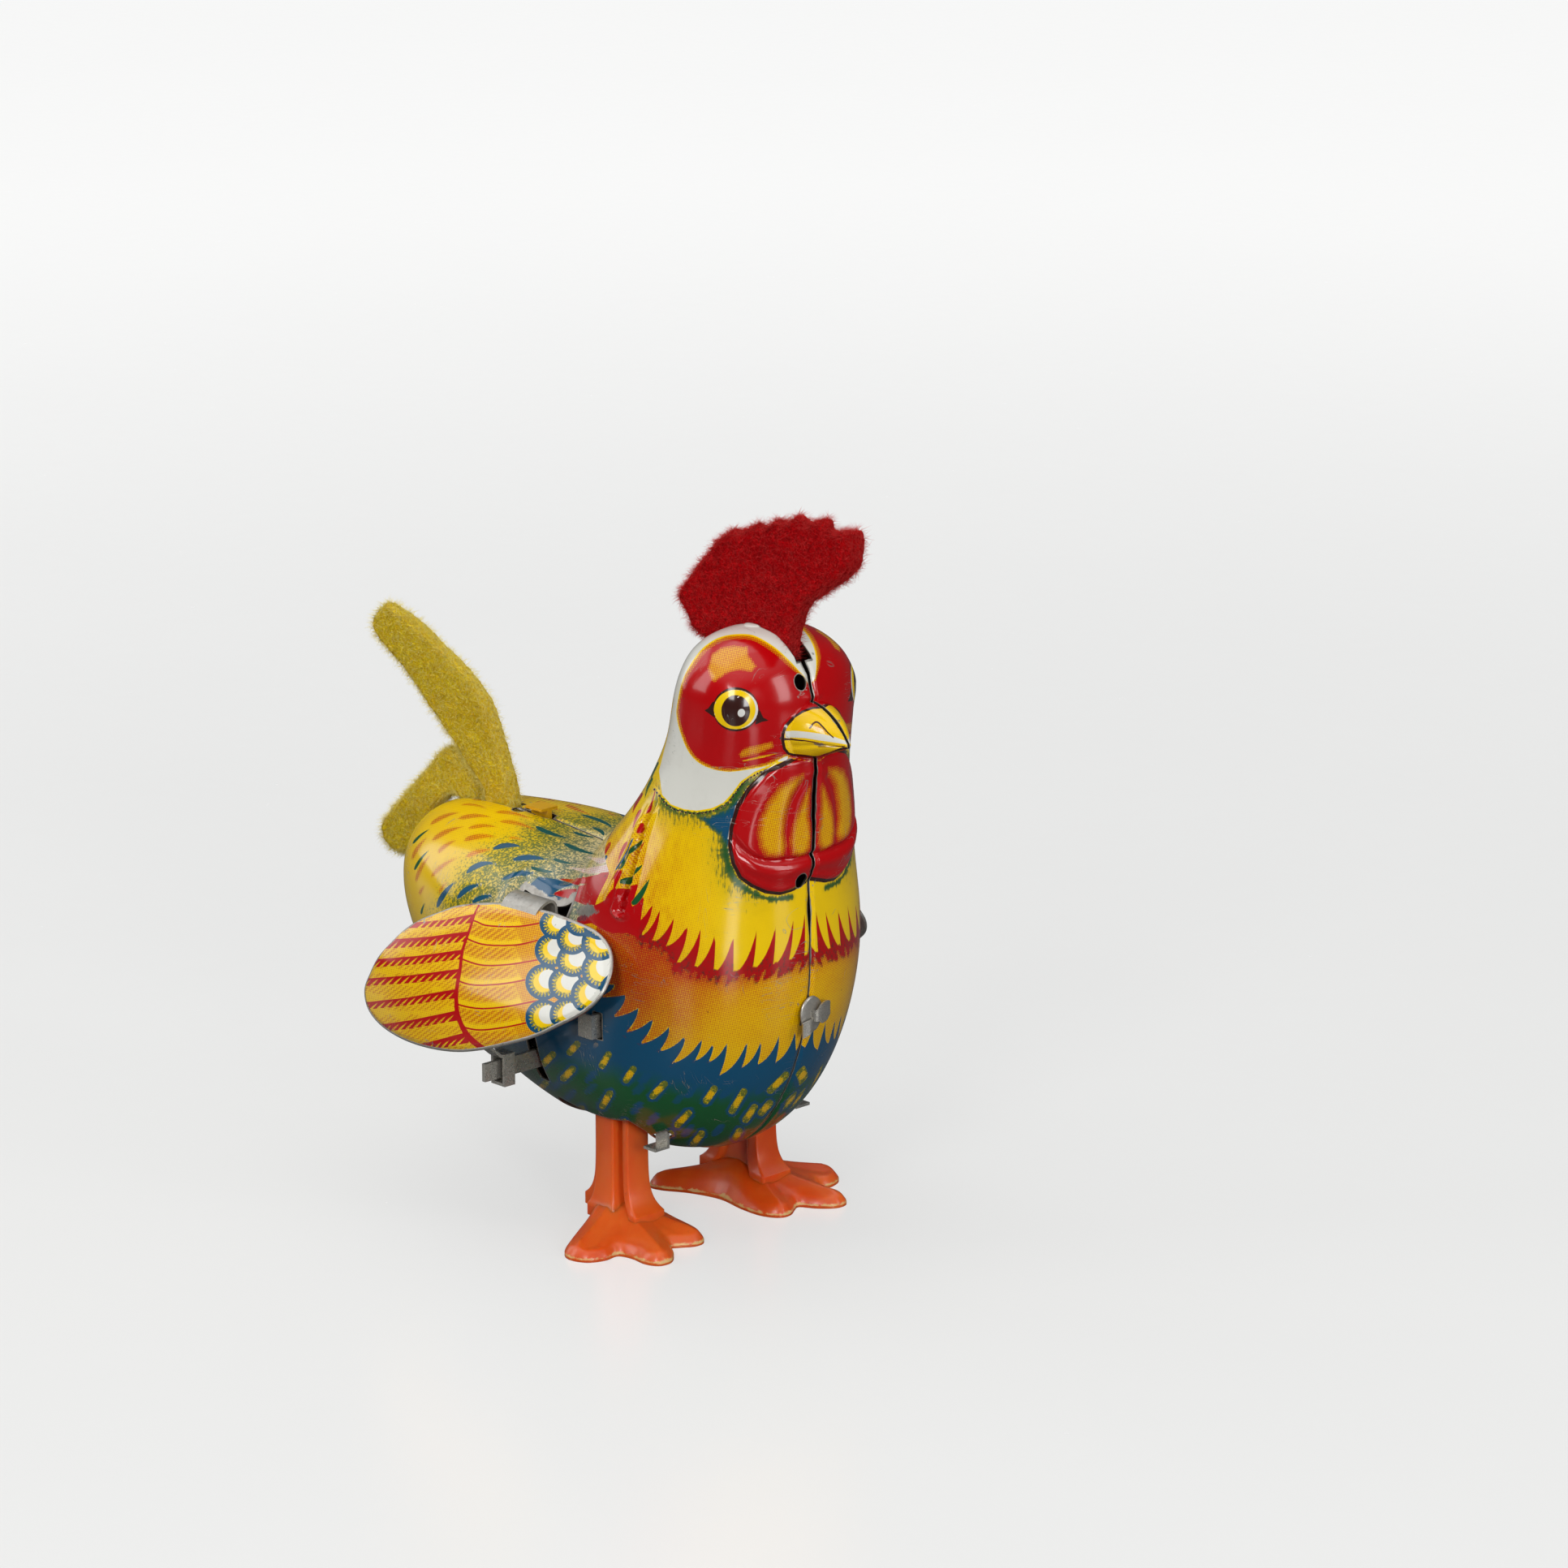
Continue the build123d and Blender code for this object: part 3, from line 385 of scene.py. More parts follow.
def unroll(grid, travel, normals):
    """Drawing place of each grid point; past the visible edge it runs on at a steady scale."""
    rows, columns = grid.shape[:2]
    drawn = project(grid.reshape(-1, 3)).reshape(rows, columns, 2)
    view = EYE - grid
    view /= np.linalg.norm(view, axis=2, keepdims=True)
    facing = (normals * view).sum(2)
    cut = np.zeros(rows, int)
    outward = np.zeros((rows, 2))
    for i in range(rows):
        j = 0
        while j < columns - 8 and facing[i, j] < 0.07:
            j += 1
        cut[i] = j
        step = drawn[i, j] - drawn[i, min(j + 4, columns - 1)]
        outward[i] = step / max(hypot(*step), 1e-9)
    for _ in range(6):
        outward[1:-1] = (outward[:-2] + 2 * outward[1:-1] + outward[2:]) / 4
    outward /= np.maximum(np.linalg.norm(outward, axis=1, keepdims=True), 1e-9)
    for i in range(rows):
        j = cut[i]
        if j > 0:
            run = travel[i, j] - travel[i, :j]
            reach = 1.2 * run + 3.6 * run * smooth(0, 6, run)
            drawn[i, :j] = drawn[i, j] + outward[i] * reach[:, None]
    return drawn, facing


# ------------------------------------------------------------------ mesh helpers
def quads(rows, columns):
    i, j = np.meshgrid(np.arange(rows - 1), np.arange(columns - 1), indexing="ij")
    a = (i * columns + j).ravel()
    return np.stack([a, a + 1, a + columns + 1, a + columns], 1)


def flat_grid(low, high, columns_x, columns_y):
    """Raveled coordinates of a grid over a rectangle."""
    grid = np.meshgrid(np.linspace(low[0], high[0], columns_x),
                       np.linspace(low[1], high[1], columns_y), indexing="ij")
    return [a.ravel() for a in grid]


def clip(table, faces, keep):
    """Keeps the mesh where keep is positive, cut cleanly along 0; table holds carried columns."""
    inside = keep >= 0
    count = inside[faces].sum(1)
    whole = faces[count == faces.shape[1]]
    cut_faces = []
    made, new = {}, []
    for quad in faces[(count > 0) & (count < faces.shape[1])]:
        face = []
        for a, b in zip(quad, np.roll(quad, -1)):
            if inside[a]:
                face.append(int(a))
            if inside[a] != inside[b]:
                edge = (min(a, b), max(a, b))
                if edge not in made:
                    t = keep[edge[0]] / (keep[edge[0]] - keep[edge[1]])
                    made[edge] = len(table) + len(new)
                    new.append(table[edge[0]] * (1 - t) + table[edge[1]] * t)
                face.append(made[edge])
        if len(face) > 2:
            cut_faces.append(face)
    if new:
        table = np.vstack([table, np.array(new)])
    kept = whole.tolist() + cut_faces
    used = np.zeros(len(table), bool)
    for face in kept:
        used[face] = True
    number = np.cumsum(used) - 1
    return table[used], [[int(number[v]) for v in face] for face in kept]


def mesh_object(name, points, faces, materials, attributes=None):
    """A smooth-shaded object from design millimetres."""
    mesh = bpy.data.meshes.new(name)
    metres = (np.asarray(points, float) + [SHIFT, 0, 0]) / 1000.0
    flat = np.fromiter((v for f in faces for v in f), np.int32)
    total = np.fromiter((len(f) for f in faces), np.int32)
    start = np.concatenate([[0], np.cumsum(total)[:-1]]).astype(np.int32)
    mesh.vertices.add(len(metres))
    mesh.vertices.foreach_set("co", metres.astype(np.float32).ravel())
    mesh.loops.add(len(flat))
    mesh.loops.foreach_set("vertex_index", flat)
    mesh.polygons.add(len(total))
    mesh.polygons.foreach_set("loop_start", start)
    mesh.polygons.foreach_set("loop_total", total)
    mesh.update(calc_edges=True)
    mesh.validate()
    for key, values in (attributes or {}).items():
        attribute = mesh.attributes.new(key, "FLOAT_VECTOR", "POINT")
        attribute.data.foreach_set("vector", np.asarray(values, np.float32).ravel())
    return link_mesh(name, mesh, materials)


def link_mesh(name, mesh, materials, smooth_shading=True):
    for material in materials:
        mesh.materials.append(material)
    if smooth_shading:
        mesh.polygons.foreach_set("use_smooth", np.ones(len(mesh.polygons), bool))
    obj = bpy.data.objects.new(name, mesh)
    bpy.context.scene.collection.objects.link(obj)
    return obj


def bmesh_to_mesh(name, bm):
    mesh = bpy.data.meshes.new(name)
    bm.to_mesh(mesh)
    bm.free()
    return mesh


def thicken(obj, thickness, offset=0.0, inner=0, rim=0):
    """Gives a sheet its thickness in millimetres; inner and rim are material steps."""
    modifier = obj.modifiers.new("sheet", "SOLIDIFY")
    modifier.thickness = thickness / 1000.0
    modifier.offset = offset
    modifier.material_offset = inner
    modifier.material_offset_rim = rim
    depsgraph = bpy.context.evaluated_depsgraph_get()
    mesh = bpy.data.meshes.new_from_object(obj.evaluated_get(depsgraph))
    obj.modifiers.clear()
    old = obj.data
    obj.data = mesh
    bpy.data.meshes.remove(old)
    obj.data.set_sharp_from_angle(angle=radians(CREASE))


def register(obj, body, node=None):
    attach(obj, body)
    if node:
        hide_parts(node)


# ------------------------------------------------------------------ print of the body
# outlines on the drawing plane
FACE = [
    (860, 805), (877, 790), (894, 783), (915, 781), (932, 784), (954, 797), (971, 812), (990, 831),
    (1004, 843), (1060, 850), (1070, 935), (978, 935), (971, 931), (946, 943), (923, 948),
    (899, 951), (879, 948), (861, 940), (848, 926), (839, 905), (834, 886), (834, 869), (842, 835)]
EAR = [
    (806, 968), (816, 981), (826, 992), (842, 998), (858, 1000), (877, 997), (892, 990), (903, 978),
    (913, 964), (930, 952), (947, 945), (958, 939)]
WATTLE = [
    (977, 932), (943, 948), (921, 970), (907, 992), (899, 1019), (897, 1042), (901, 1064),
    (910, 1082), (925, 1093), (943, 1101), (961, 1103), (977, 1098), (997, 1086), (1016, 1078),
    (1060, 1070), (1060, 930)]
BEAK = [
    (1013.7, 869.5), (1000.8, 870.9), (988.8, 875.2), (975, 883.8), (966.4, 893.3), (962.6, 903.6),
    (962.2, 912.2), (964.3, 922.5), (969.8, 929.4), (980.2, 932), (992.2, 932.9), (1002.5, 934.6),
    (1009.4, 934.2), (1023.2, 929.4), (1040, 923), (1075, 926), (1075, 868)]
# tips and valleys of the saw teeth under the neck
NECK_TIPS = NECK([
    (255, 735), (330, 765), (378, 808), (418, 843), (494, 889), (571, 929), (642, 958), (724, 977),
    (824, 984), (950, 968), (1056, 944), (1154, 908), (1222, 871), (1290, 850)])
NECK_VALLEYS = NECK([
    (170, 890), (240, 960), (300, 1010), (365, 1045), (447, 1062), (500, 1165), (600, 1190),
    (712, 1210), (822, 1217), (925, 1195), (1040, 1175), (1125, 1155), (1215, 1130), (1300, 1100)])
# the same for the blue band above the belly
BELLY_TIPS = BELLY([
    (20, 60), (95, 105), (165, 148), (228, 205), (298, 275), (378, 330), (472, 375), (558, 425),
    (650, 440), (715, 460), (788, 463), (900, 455), (977, 452), (1075, 430), (1165, 405),
    (1240, 380)])
BELLY_VALLEYS = BELLY([
    (-60, 90), (10, 150), (80, 220), (150, 330), (225, 415), (300, 480), (408, 520), (478, 588),
    (605, 573), (682, 580), (745, 650), (868, 608), (955, 592), (1055, 578), (1170, 510),
    (1265, 500)])


def print_breast(art):
    """Yellow neck and orange breast; returns each point's drop below the line of valleys."""
    x, y, ink, tint = art.x, art.y, art.ink, art.tint
    mottle, fleck = noise2(x / 9, y / 26, 1), noise2(x / 3.0, y / 10, 2)
    tint["R"] = (0.02 + 0.42 * smooth(900, 780, x) * smooth(985, 1050, y)
                 * (0.35 + 0.9 * fleck))
    tint["B"] = 0.16 * smooth(960, 830, x) * smooth(1110, 1000, y) * fleck + 0.02 * mottle
    below = y - np.interp(x, *zip(*NECK_VALLEYS))
    front = smooth(735, 750, x) > 0
    stroke = noise2((x + 0.35 * y) / 3.1, y / 30, 3)
    fine_stroke = noise2((x + 0.30 * y) / 1.7, y / 12, 13)
    reach = 0.5 + 17 * stroke ** 1.6 + 4 * fine_stroke
    red = 1.0 - smooth(reach - 4.0, reach + 2.0, below)
    tone = 0.90 - 0.58 * smooth(-0.45, 1.0, (x - 800) / 200 + (y - 1240) / 130)
    tone = tone + 0.10 * (noise2(x / 22, y / 22, 5) - 0.5) + 0.20 * smooth(26, 2, below)
    tint["B"] = np.where((below > -1) & front,
                         np.maximum(0.20 * smooth(880, 740, x), 0.22 * smooth(16, 0, below)),
                         tint["B"])
    art.teeth(NECK_TIPS, NECK_VALLEYS, "YR", foot=0.5)
    breast = (below > -5) & front
    tint["R"] = np.where(breast, np.maximum(np.minimum(tone, 0.93), red), tint["R"])
    dark = (ink["R"] > -0.5) & (below > -60) & (below < 3) & front
    tint["B"] = np.where(dark | (breast & (below < reach)),
                         (0.06 + 0.34 * smooth(-38, 0, below)) * (0.4 + 0.9 * fine_stroke),
                         tint["B"])
    # red patch behind the rearmost teeth
    art.fill(NECK([
        (-40, 900), (60, 830), (120, 800), (160, 742), (230, 735), (300, 712), (282, 770),
        (262, 840), (330, 790), (318, 860), (300, 1010), (240, 985), (150, 985), (90, 960),
        (40, 930), (-40, 940)]), "YR")
    return below


# rows of start, end and width on the rump drawing
RUMP_RED = [
    ((245, 275), (425, 200), 26), ((135, 487), (228, 350), 24), ((158, 622), (247, 458), 24),
    ((255, 372), (445, 288), 30), ((290, 447), (405, 368), 26), ((250, 592), (415, 472), 28),
    ((412, 240), (615, 230), 26), ((448, 370), (645, 348), 34), ((460, 472), (618, 425), 30),
    ((475, 297), (650, 290), 24), ((498, 124), (705, 148), 20), ((638, 200), (855, 243), 22),
    ((663, 256), (882, 310), 24), ((718, 355), (805, 368), 14), ((430, 155), (588, 178), 14),
    ((180, 700), (215, 640), 20), ((300, 690), (350, 620), 18), ((820, 165), (1030, 260), 18)]
RUMP_GREEN = [
    ((138, 392), (252, 297), 16), ((148, 553), (250, 418), 18), ((190, 822), (224, 728), 14)]
RUMP_TEAL = [
    ((878, 284), (1085, 357), 26), ((1048, 386), (1270, 458), 24), ((1108, 318), (1255, 352), 16),
    ((985, 480), (1125, 512), 20), ((848, 535), (1015, 560), 26)]
# the same, with the bend of each
RUMP_BLUE = [
    ((618, 424), (802, 408), 32, -.09), ((738, 488), (955, 488), 34, -.07),
    ((456, 574), (650, 510), 34, -.13), ((674, 608), (882, 578), 34, -.08),
    ((404, 728), (562, 634), 34, -.12), ((284, 782), (402, 614), 32, -.07),
    ((490, 752), (640, 706), 30, -.1), ((560, 800), (690, 770), 26, -.1)]
# feathers at the foot of the neck: outlines, and the red tint (None is solid red)
NECK_FOOT = [
    ([(968, 690), (1140, 655), (1290, 590), (1400, 540), (1400, 760), (1180, 760), (1080, 720)],
     None),
    ([(1000, 596), (1120, 606), (1260, 575), (1380, 500), (1420, 420), (1420, 470), (1340, 560),
      (1230, 625), (1120, 640)], None),
    ([(1085, 534), (1180, 540), (1300, 520), (1380, 470), (1330, 560), (1200, 572)], .35),
    ([(1195, 470), (1290, 478), (1400, 440), (1370, 480), (1270, 512)], .3)]


def print_back(art, place, neck, below):
    """Speckled green and pale teal back with a yellow rump."""
    x, y, ink, tint = art.x, art.y, art.ink, art.tint
    edge = RUMP([(1010, 215), (880, 290), (800, 365), (650, 430), (560, 485), (480, 565),
                 (430, 640), (350, 745), (300, 830), (280, 900)])
    distance, _, side, _ = line_distance(art.points, curve(edge, 4))
    past = distance * -side
    # the back proper lies behind the root of the neck
    root = NECK([(215, 505), (190, 560), (150, 640), (120, 700), (70, 800), (40, 860)])
    root_x, root_y = zip(*root)
    limit = np.where(y < root_y[0], 775, np.interp(y, root_y, root_x))
    back = (~neck & (place[:, 2] > 26) & ((x < limit + 30) | (place[:, 0] < -12))
            & (y < 1200) & (below < 6))
    art.only = ~neck
    speckle, blotch = noise2(x / 1.6, y / 1.6, 9), noise2(x / 3.4, y / 3.4, 19)
    blue = smooth(-46, 14, past) * (0.58 + 0.20 * (speckle - 0.5) + 0.16 * (blotch - 0.5))
    blue = blue * (1 - 0.50 * smooth(700, 785, x + 0.3 * (1060 - y)))
    tint["B"] = np.where(back, blue, tint["B"])
    tint["R"] = np.where(back, 0.05 * smooth(20, -40, past), tint["R"])
    ink["Y"] = np.where(back, np.minimum(ink["Y"], 14 - past), ink["Y"])
    tint["Y"] = np.where(back, 1 - 0.50 * smooth(8, 74, past), 0)

    for rows, inks, bend, blunt, shade in (
            (RUMP_RED, "Y", -0.07, 0.62, ("R", 0.62)), (RUMP_GREEN, "YB", -0.06, 0.5, None),
            (RUMP_TEAL, "B", 0.04, 0.5, ("Y", 0.65))):
        for start, end, width in rows:
            art.leaf(*RUMP([start, end]), width / RUMP_SCALE, inks, bend, blunt, shade)
    for start, end, width, bend in RUMP_BLUE:
        art.leaf(*RUMP([start, end]), width / RUMP_SCALE, "B", bend, 0.72)
    art.fill(RUMP([(820, 640), (900, 598), (1000, 604), (1142, 640), (1040, 668), (985, 690),
                   (1140, 716), (1060, 742), (940, 735), (840, 690)]), "B")
    for outline, red in NECK_FOOT:
        outline = RUMP(outline)
        if red is None:
            art.fill(outline, "YR")
        else:
            art.fill(outline, "")
            for k, value in (("R", red), ("B", 0.0), ("Y", 0.0)):
                art.shade(outline, k, value, 1.0)


# start, end and width on the neck drawing, and inks
MANE = [
    ((262, 832), (362, 674), 34, "YB"), ((203, 712), (326, 600), 30, "YB"),
    ((238, 742), (262, 650), 12, "YB"), ((168, 642), (292, 452), 18, "B"),
    ((150, 700), (240, 560), 14, "YR"), ((196, 640), (270, 520), 12, "YB"),
    ((300, 440), (330, 350), 10, "YR"), ((345, 330), (400, 130), 9, "YR"),
    ((372, 330), (418, 170), 7, "YB"), ((300, 560), (352, 420), 8, "YR"),
    ((250, 560), (318, 420), 9, "YB")]


def print_mane(art, neck):
    """Long strokes down the back of the neck."""
    art.only = neck
    for k in range(74):
        h, g = hash1(k, 3), hash1(k, 5)
        y = 862 + 19 * (k % 12) + 9 * g
        x = 835 - 18 * (k // 12) - 14 * h - 6 * g - 1.2 * (y - 860) * 0.24
        inks = ("YB", "YR", "Y", "YR", "B")[int(5 * h)]
        art.leaf((x, y), (x - 10 - 4 * h, y + 26 + 10 * g), 3.4 + 1.6 * h, inks, 0.05)
    for start, end, width, inks in MANE:
        art.leaf(*NECK([start, end]), width / BODY_SCALE, inks, 0.05)
    art.only = None


# centre and half length of each yellow dash on the belly drawing
DASHES = [
    (115, 565, 55), (250, 645, 56), (410, 730, 66), (695, 757, 60), (848, 792, 82), (1070, 690, 82),
    (1183, 690, 60), (1278, 632, 60), (120, 785, 60), (545, 890, 64), (915, 860, 62),
    (1000, 830, 56), (625, 1000, 56), (845, 975, 40), (1190, 770, 50), (30, 400, 46),
    (460, 985, 40), (400, 1035, 46), (210, 925, 40), (-60, 500, 50), (-90, 640, 56), (-40, 860, 56),
    (-200, 560, 56), (-240, 720, 56), (-340, 600, 50), (-400, 780, 56), (-560, 640, 50),
    (-520, 860, 50), (-180, 900, 50), (-700, 560, 50), (-760, 720, 50)]
BLUE_OVALS = [
    (38, 655), (290, 830), (335, 665), (780, 745), (975, 722), (570, 955), (738, 952), (380, 890),
    (-150, 700), (-300, 860), (-460, 700), (590, 740), (-80, 760)]
PALE_OVALS = [(35, 722), (300, 727), (525, 777), (-120, 820)]
# edge where the blue turns green, on the drawing plane
GREEN_EDGE = [(560, 1285), (720, 1312), (790, 1330), (850, 1345), (920, 1353), (960, 1342),
              (985, 1326), (1060, 1310)]


def print_belly(art):
    """Blue band, and the green belly with its dashes and ovals."""
    x, y, ink, tint = art.x, art.y, art.ink, art.tint
    art.teeth(BELLY_TIPS, BELLY_VALLEYS, "B")
    first_x, first_y = BELLY_VALLEYS[0]
    top = np.interp(x, *zip(*BELLY_VALLEYS))
    top = np.where(x < first_x, first_y - 0.05 * (first_x - x), top)
    low = y - top - 6
    depth = np.clip(low, -9, 9)
    for k in "YRBKW":
        new = np.maximum(ink[k], depth) if k == "B" else np.minimum(ink[k], -depth)
        ink[k] = np.where(low > -14, new, ink[k])
    green = y - np.interp(x, *zip(*GREEN_EDGE)) + 6 * (noise2(x / 7, y / 7, 8) - 0.5)
    tint["Y"] = np.where(low > 0, smooth(-16, 16, green), tint["Y"])
    art.clear(low > 0, "RB")
    for cx, cy, half in DASHES:
        half = half / BODY_SCALE
        angle = radians(-52 - 8 * sin(cx * 0.01))
        near, along, across = art.local(*BELLY([(cx, cy)]), angle, 22)
        rim = 4.4 - np.hypot(np.maximum(np.abs(along) - (half - 4.4), 0), across)
        ink["Y"][near] = np.maximum(ink["Y"][near], rim)
        ink["B"][near] = np.minimum(ink["B"][near], -rim)
        core = 2.9 - np.hypot(np.maximum(np.abs(along + 0.5) - (half * 0.40 - 2.9), 0), across)
        blue = 0.66 * smooth(0.6, -0.8, core) + 0.30 * smooth(0.4, -0.8, rim)
        inside = rim > -3.2
        where = near[inside]
        tint["Y"][where] = 0
        tint["B"][where] = blue[inside]
        tint["R"][where] = (0.24 * smooth(-0.8, 0.6, core))[inside]
    for centre in BELLY(BLUE_OVALS):
        near, along, across = art.local(centre, radians(-45), 14)
        ring = np.hypot(along / 10.5, across / 4.6)
        tint["Y"][near] = np.minimum(tint["Y"][near], smooth(0.92, 1.05, ring))
    for centre in BELLY(PALE_OVALS):
        near, along, across = art.local(centre, radians(-40), 14)
        ring = np.hypot(along / 10, across / 4.4)
        tint["Y"][near] = np.minimum(tint["Y"][near], 1 - 0.7 * smooth(1.05, 0.9, ring))


def print_ear(art):
    """White head and ear patch, with bristles and a row of dots along its lower edge."""
    x, y, ink, tint = art.x, art.y, art.ink, art.tint
    white = EAR[1:] + [(975, 935), (1085, 935), (1085, 690), (600, 690), (600, 820), (832, 836),
                       (829, 870), (822, 910), (812, 950)]
    art.fill(white, "")
    art.blank(white, -0.5)
    # blue bristles under the ear patch and beside the wattle
    rim = curve(EAR[1:9] + [(905, 985), (897, 1010), (893, 1042), (898, 1068), (908, 1086),
                            (925, 1099), (950, 1108), (975, 1105)], 4)
    distance, along, _, length = line_distance(art.points, rim)
    outside = outline_distance(art.points, white) > 0
    reach = (7 + 16 * hash1(np.floor(along / 2.6), 2)
             + 12 * smooth(60, 95, along) * smooth(150, 110, along))
    reach = reach * (1 - 0.55 * smooth(length - 90, length - 20, along))
    halo = (0.62 * smooth(46, 4, distance) ** 1.3
            * (0.75 + 0.5 * (noise2(x / 1.5, y / 6, 22) - 0.5))
            * smooth(length - 10, length - 80, along))
    bristle = np.maximum(0.97 * smooth(0, 1, 1 - distance / reach), halo)
    tint["B"] = np.where(outside & (distance < 60), np.maximum(tint["B"], bristle), tint["B"])
    # blue patch below the ear
    patch = NECK([
        (985, 85), (890, 185), (840, 255), (770, 308), (690, 335), (620, 345), (680, 390),
        (740, 440), (790, 520), (812, 620), (822, 540), (835, 430), (850, 330), (880, 240),
        (940, 160), (1020, 80)])
    near, depth = art.depth(patch, 12)
    depth = depth + 5.0 * (noise2(x[near] / 2.2, y[near] / 7.0, 41) - 0.5)
    free = outside[near]
    old = {k: tint[k][near] for k in "YB"}
    ink["Y"][near] = np.where(free, np.minimum(ink["Y"][near], 1.0 - depth), ink["Y"][near])
    tint["Y"][near] = np.where(
        free, np.maximum(old["Y"] * (depth > 0), 1 - smooth(0.0, 7.0, depth)), old["Y"])
    tint["B"][near] = np.where(free, np.maximum(old["B"], smooth(-3.5, 3.5, depth)), old["B"])
    art.line(EAR, 2.4, "Y")
    path = curve(EAR, 8)
    travel = np.concatenate([[0], np.cumsum(np.hypot(*np.diff(path, axis=0).T))])
    for s in np.arange(4, travel[-1], 4.8):
        dot, ahead = (np.array([np.interp(t, travel, path[:, k]) for k in (0, 1)])
                      for t in (s, s + 1))
        step = ahead - dot
        step = step / (hypot(*step) or 1)
        art.ellipse((dot[0] - step[1] * 2.6, dot[1] + step[0] * 2.6), 1.5, 1.5, "K")


def print_wattle(art):
    art.fill(WATTLE, "YRK")
    art.fill(WATTLE, "YR", 4.4)
    art.blank(WATTLE, 0)
    art.gold(NECK([
        (1200, 80), (1130, 108), (1050, 160), (990, 250), (950, 340), (938, 430), (948, 505),
        (985, 560), (1040, 566), (1092, 555), (1112, 500), (1098, 420), (1108, 330), (1140, 220),
        (1195, 130)]), 0.42, 11.0)
    art.gold(NECK([
        (1226, 150), (1190, 200), (1150, 300), (1122, 380), (1108, 470), (1120, 548), (1165, 562),
        (1212, 550), (1236, 500), (1242, 440), (1232, 350), (1232, 250), (1240, 170)]), 0.44, 9.0)


def print_face(art):
    """Red face whose rim is screened, widest along the top."""
    face = curve(FACE, 4, True)
    art.fill(face, "Y")
    art.blank(face, -0.5)
    near, depth = art.depth(face, 3)
    x, y = art.x[near], art.y[near]
    top = smooth(850, 815, y) * smooth(1012, 985, x)
    low_left = smooth(885, 915, y) * smooth(985, 950, x)
    left = smooth(870, 845, x)
    inset = 1.2 + 5.4 * top + 2.6 * np.maximum(low_left, left * (1 - top))
    art.ink["R"][near] = np.maximum(art.ink["R"][near], depth - inset)
    lead = 1.8 * np.maximum(top, 0.6 * np.maximum(low_left, left))
    rim = (depth > lead) & (depth <= inset + 0.6)
    share = np.clip((depth - lead) / np.maximum(inset - lead, 0.5), 0, 1)
    art.tint["R"][near[rim]] = (0.58 + 0.35 * share)[rim]
    art.gold(HEAD([
        (322, 570), (300, 480), (330, 380), (400, 330), (480, 318), (590, 325), (600, 390),
        (655, 470), (615, 515), (520, 500), (430, 530), (350, 590)]), 0.56, 4.0)
    art.gold(HEAD([
        (520, 1100), (560, 1055), (700, 1018), (765, 1005), (780, 1050), (650, 1105),
        (540, 1130)]), 0.60, 3.4)
    for k in range(7):                  # thin screened streaks at the foot of the face
        (x, y), = HEAD([(540 + 18 * k, 1150 - 5 * k)])
        art.leaf((x, y), (x + 30, y - 5), 1.3, "Y", tint=("R", 0.5))


def print_eye(art):
    art.ellipse((906.6, 874), 28.6, 27.2, "YRK")
    art.fill(HEAD([(276, 785), (305, 772), (345, 715), (360, 845), (308, 806)]), "YRK")
    art.fill(HEAD([(742, 858), (700, 838), (668, 770), (640, 890), (690, 868)]), "YRK")
    art.ellipse((906.8, 874.2), 27.2, 24.3, "W")
    art.ellipse((905.6, 874.2), 25.4, 24.2, "Y")
    art.ellipse((906.6, 875.6), 17.4, 19.2, "YRK")
    art.ellipse((913.4, 878), 4.4, 5.0, "W", 0.2)
    art.leaf((908, 860), (912, 857), 1.4, "W")


def print_beak(art):
    art.fill(BEAK, "YRK")
    art.fill(BEAK, "Y", 2.9)
    art.tint["R"][art.blank(BEAK, 2.5)] = 0.04
    art.fill(HEAD([
        (850, 930), (930, 932), (1000, 938), (1110, 952), (1200, 972), (1290, 1000), (1400, 1020),
        (1400, 1040), (1180, 1012), (1100, 1000), (1000, 984), (850, 978)]), "")
    art.line(HEAD([(820, 985), (870, 988), (960, 1000), (1020, 1006), (1100, 1020)]),
             2.6, "YRK", 1.0)
    art.line(HEAD([(1090, 1046), (1180, 1046), (1290, 1040)]), 1.2, "YRK", 0.9)
    spot = HEAD([(1045, 908), (1080, 884), (1115, 900), (1165, 955), (1100, 940)])
    art.fill(spot, "Y")
    art.shade(spot, "R", 0.42, 0.8)
    rim = HEAD([(1033, 912), (1062, 876), (1088, 870), (1120, 898), (1165, 948), (1202, 980)])
    art.line(curve(rim, 4), 2.3, "YRK", 1.4)


def print_body(drawn, place, neck):
    """The whole print; later inks cover earlier ones."""
    art = Print(drawn)
    below = print_breast(art)
    print_back(art, place, neck, below)
    print_mane(art, neck)
    print_belly(art)
    print_ear(art)
    print_wattle(art)
    print_face(art)
    print_eye(art)
    print_beak(art)
    return art


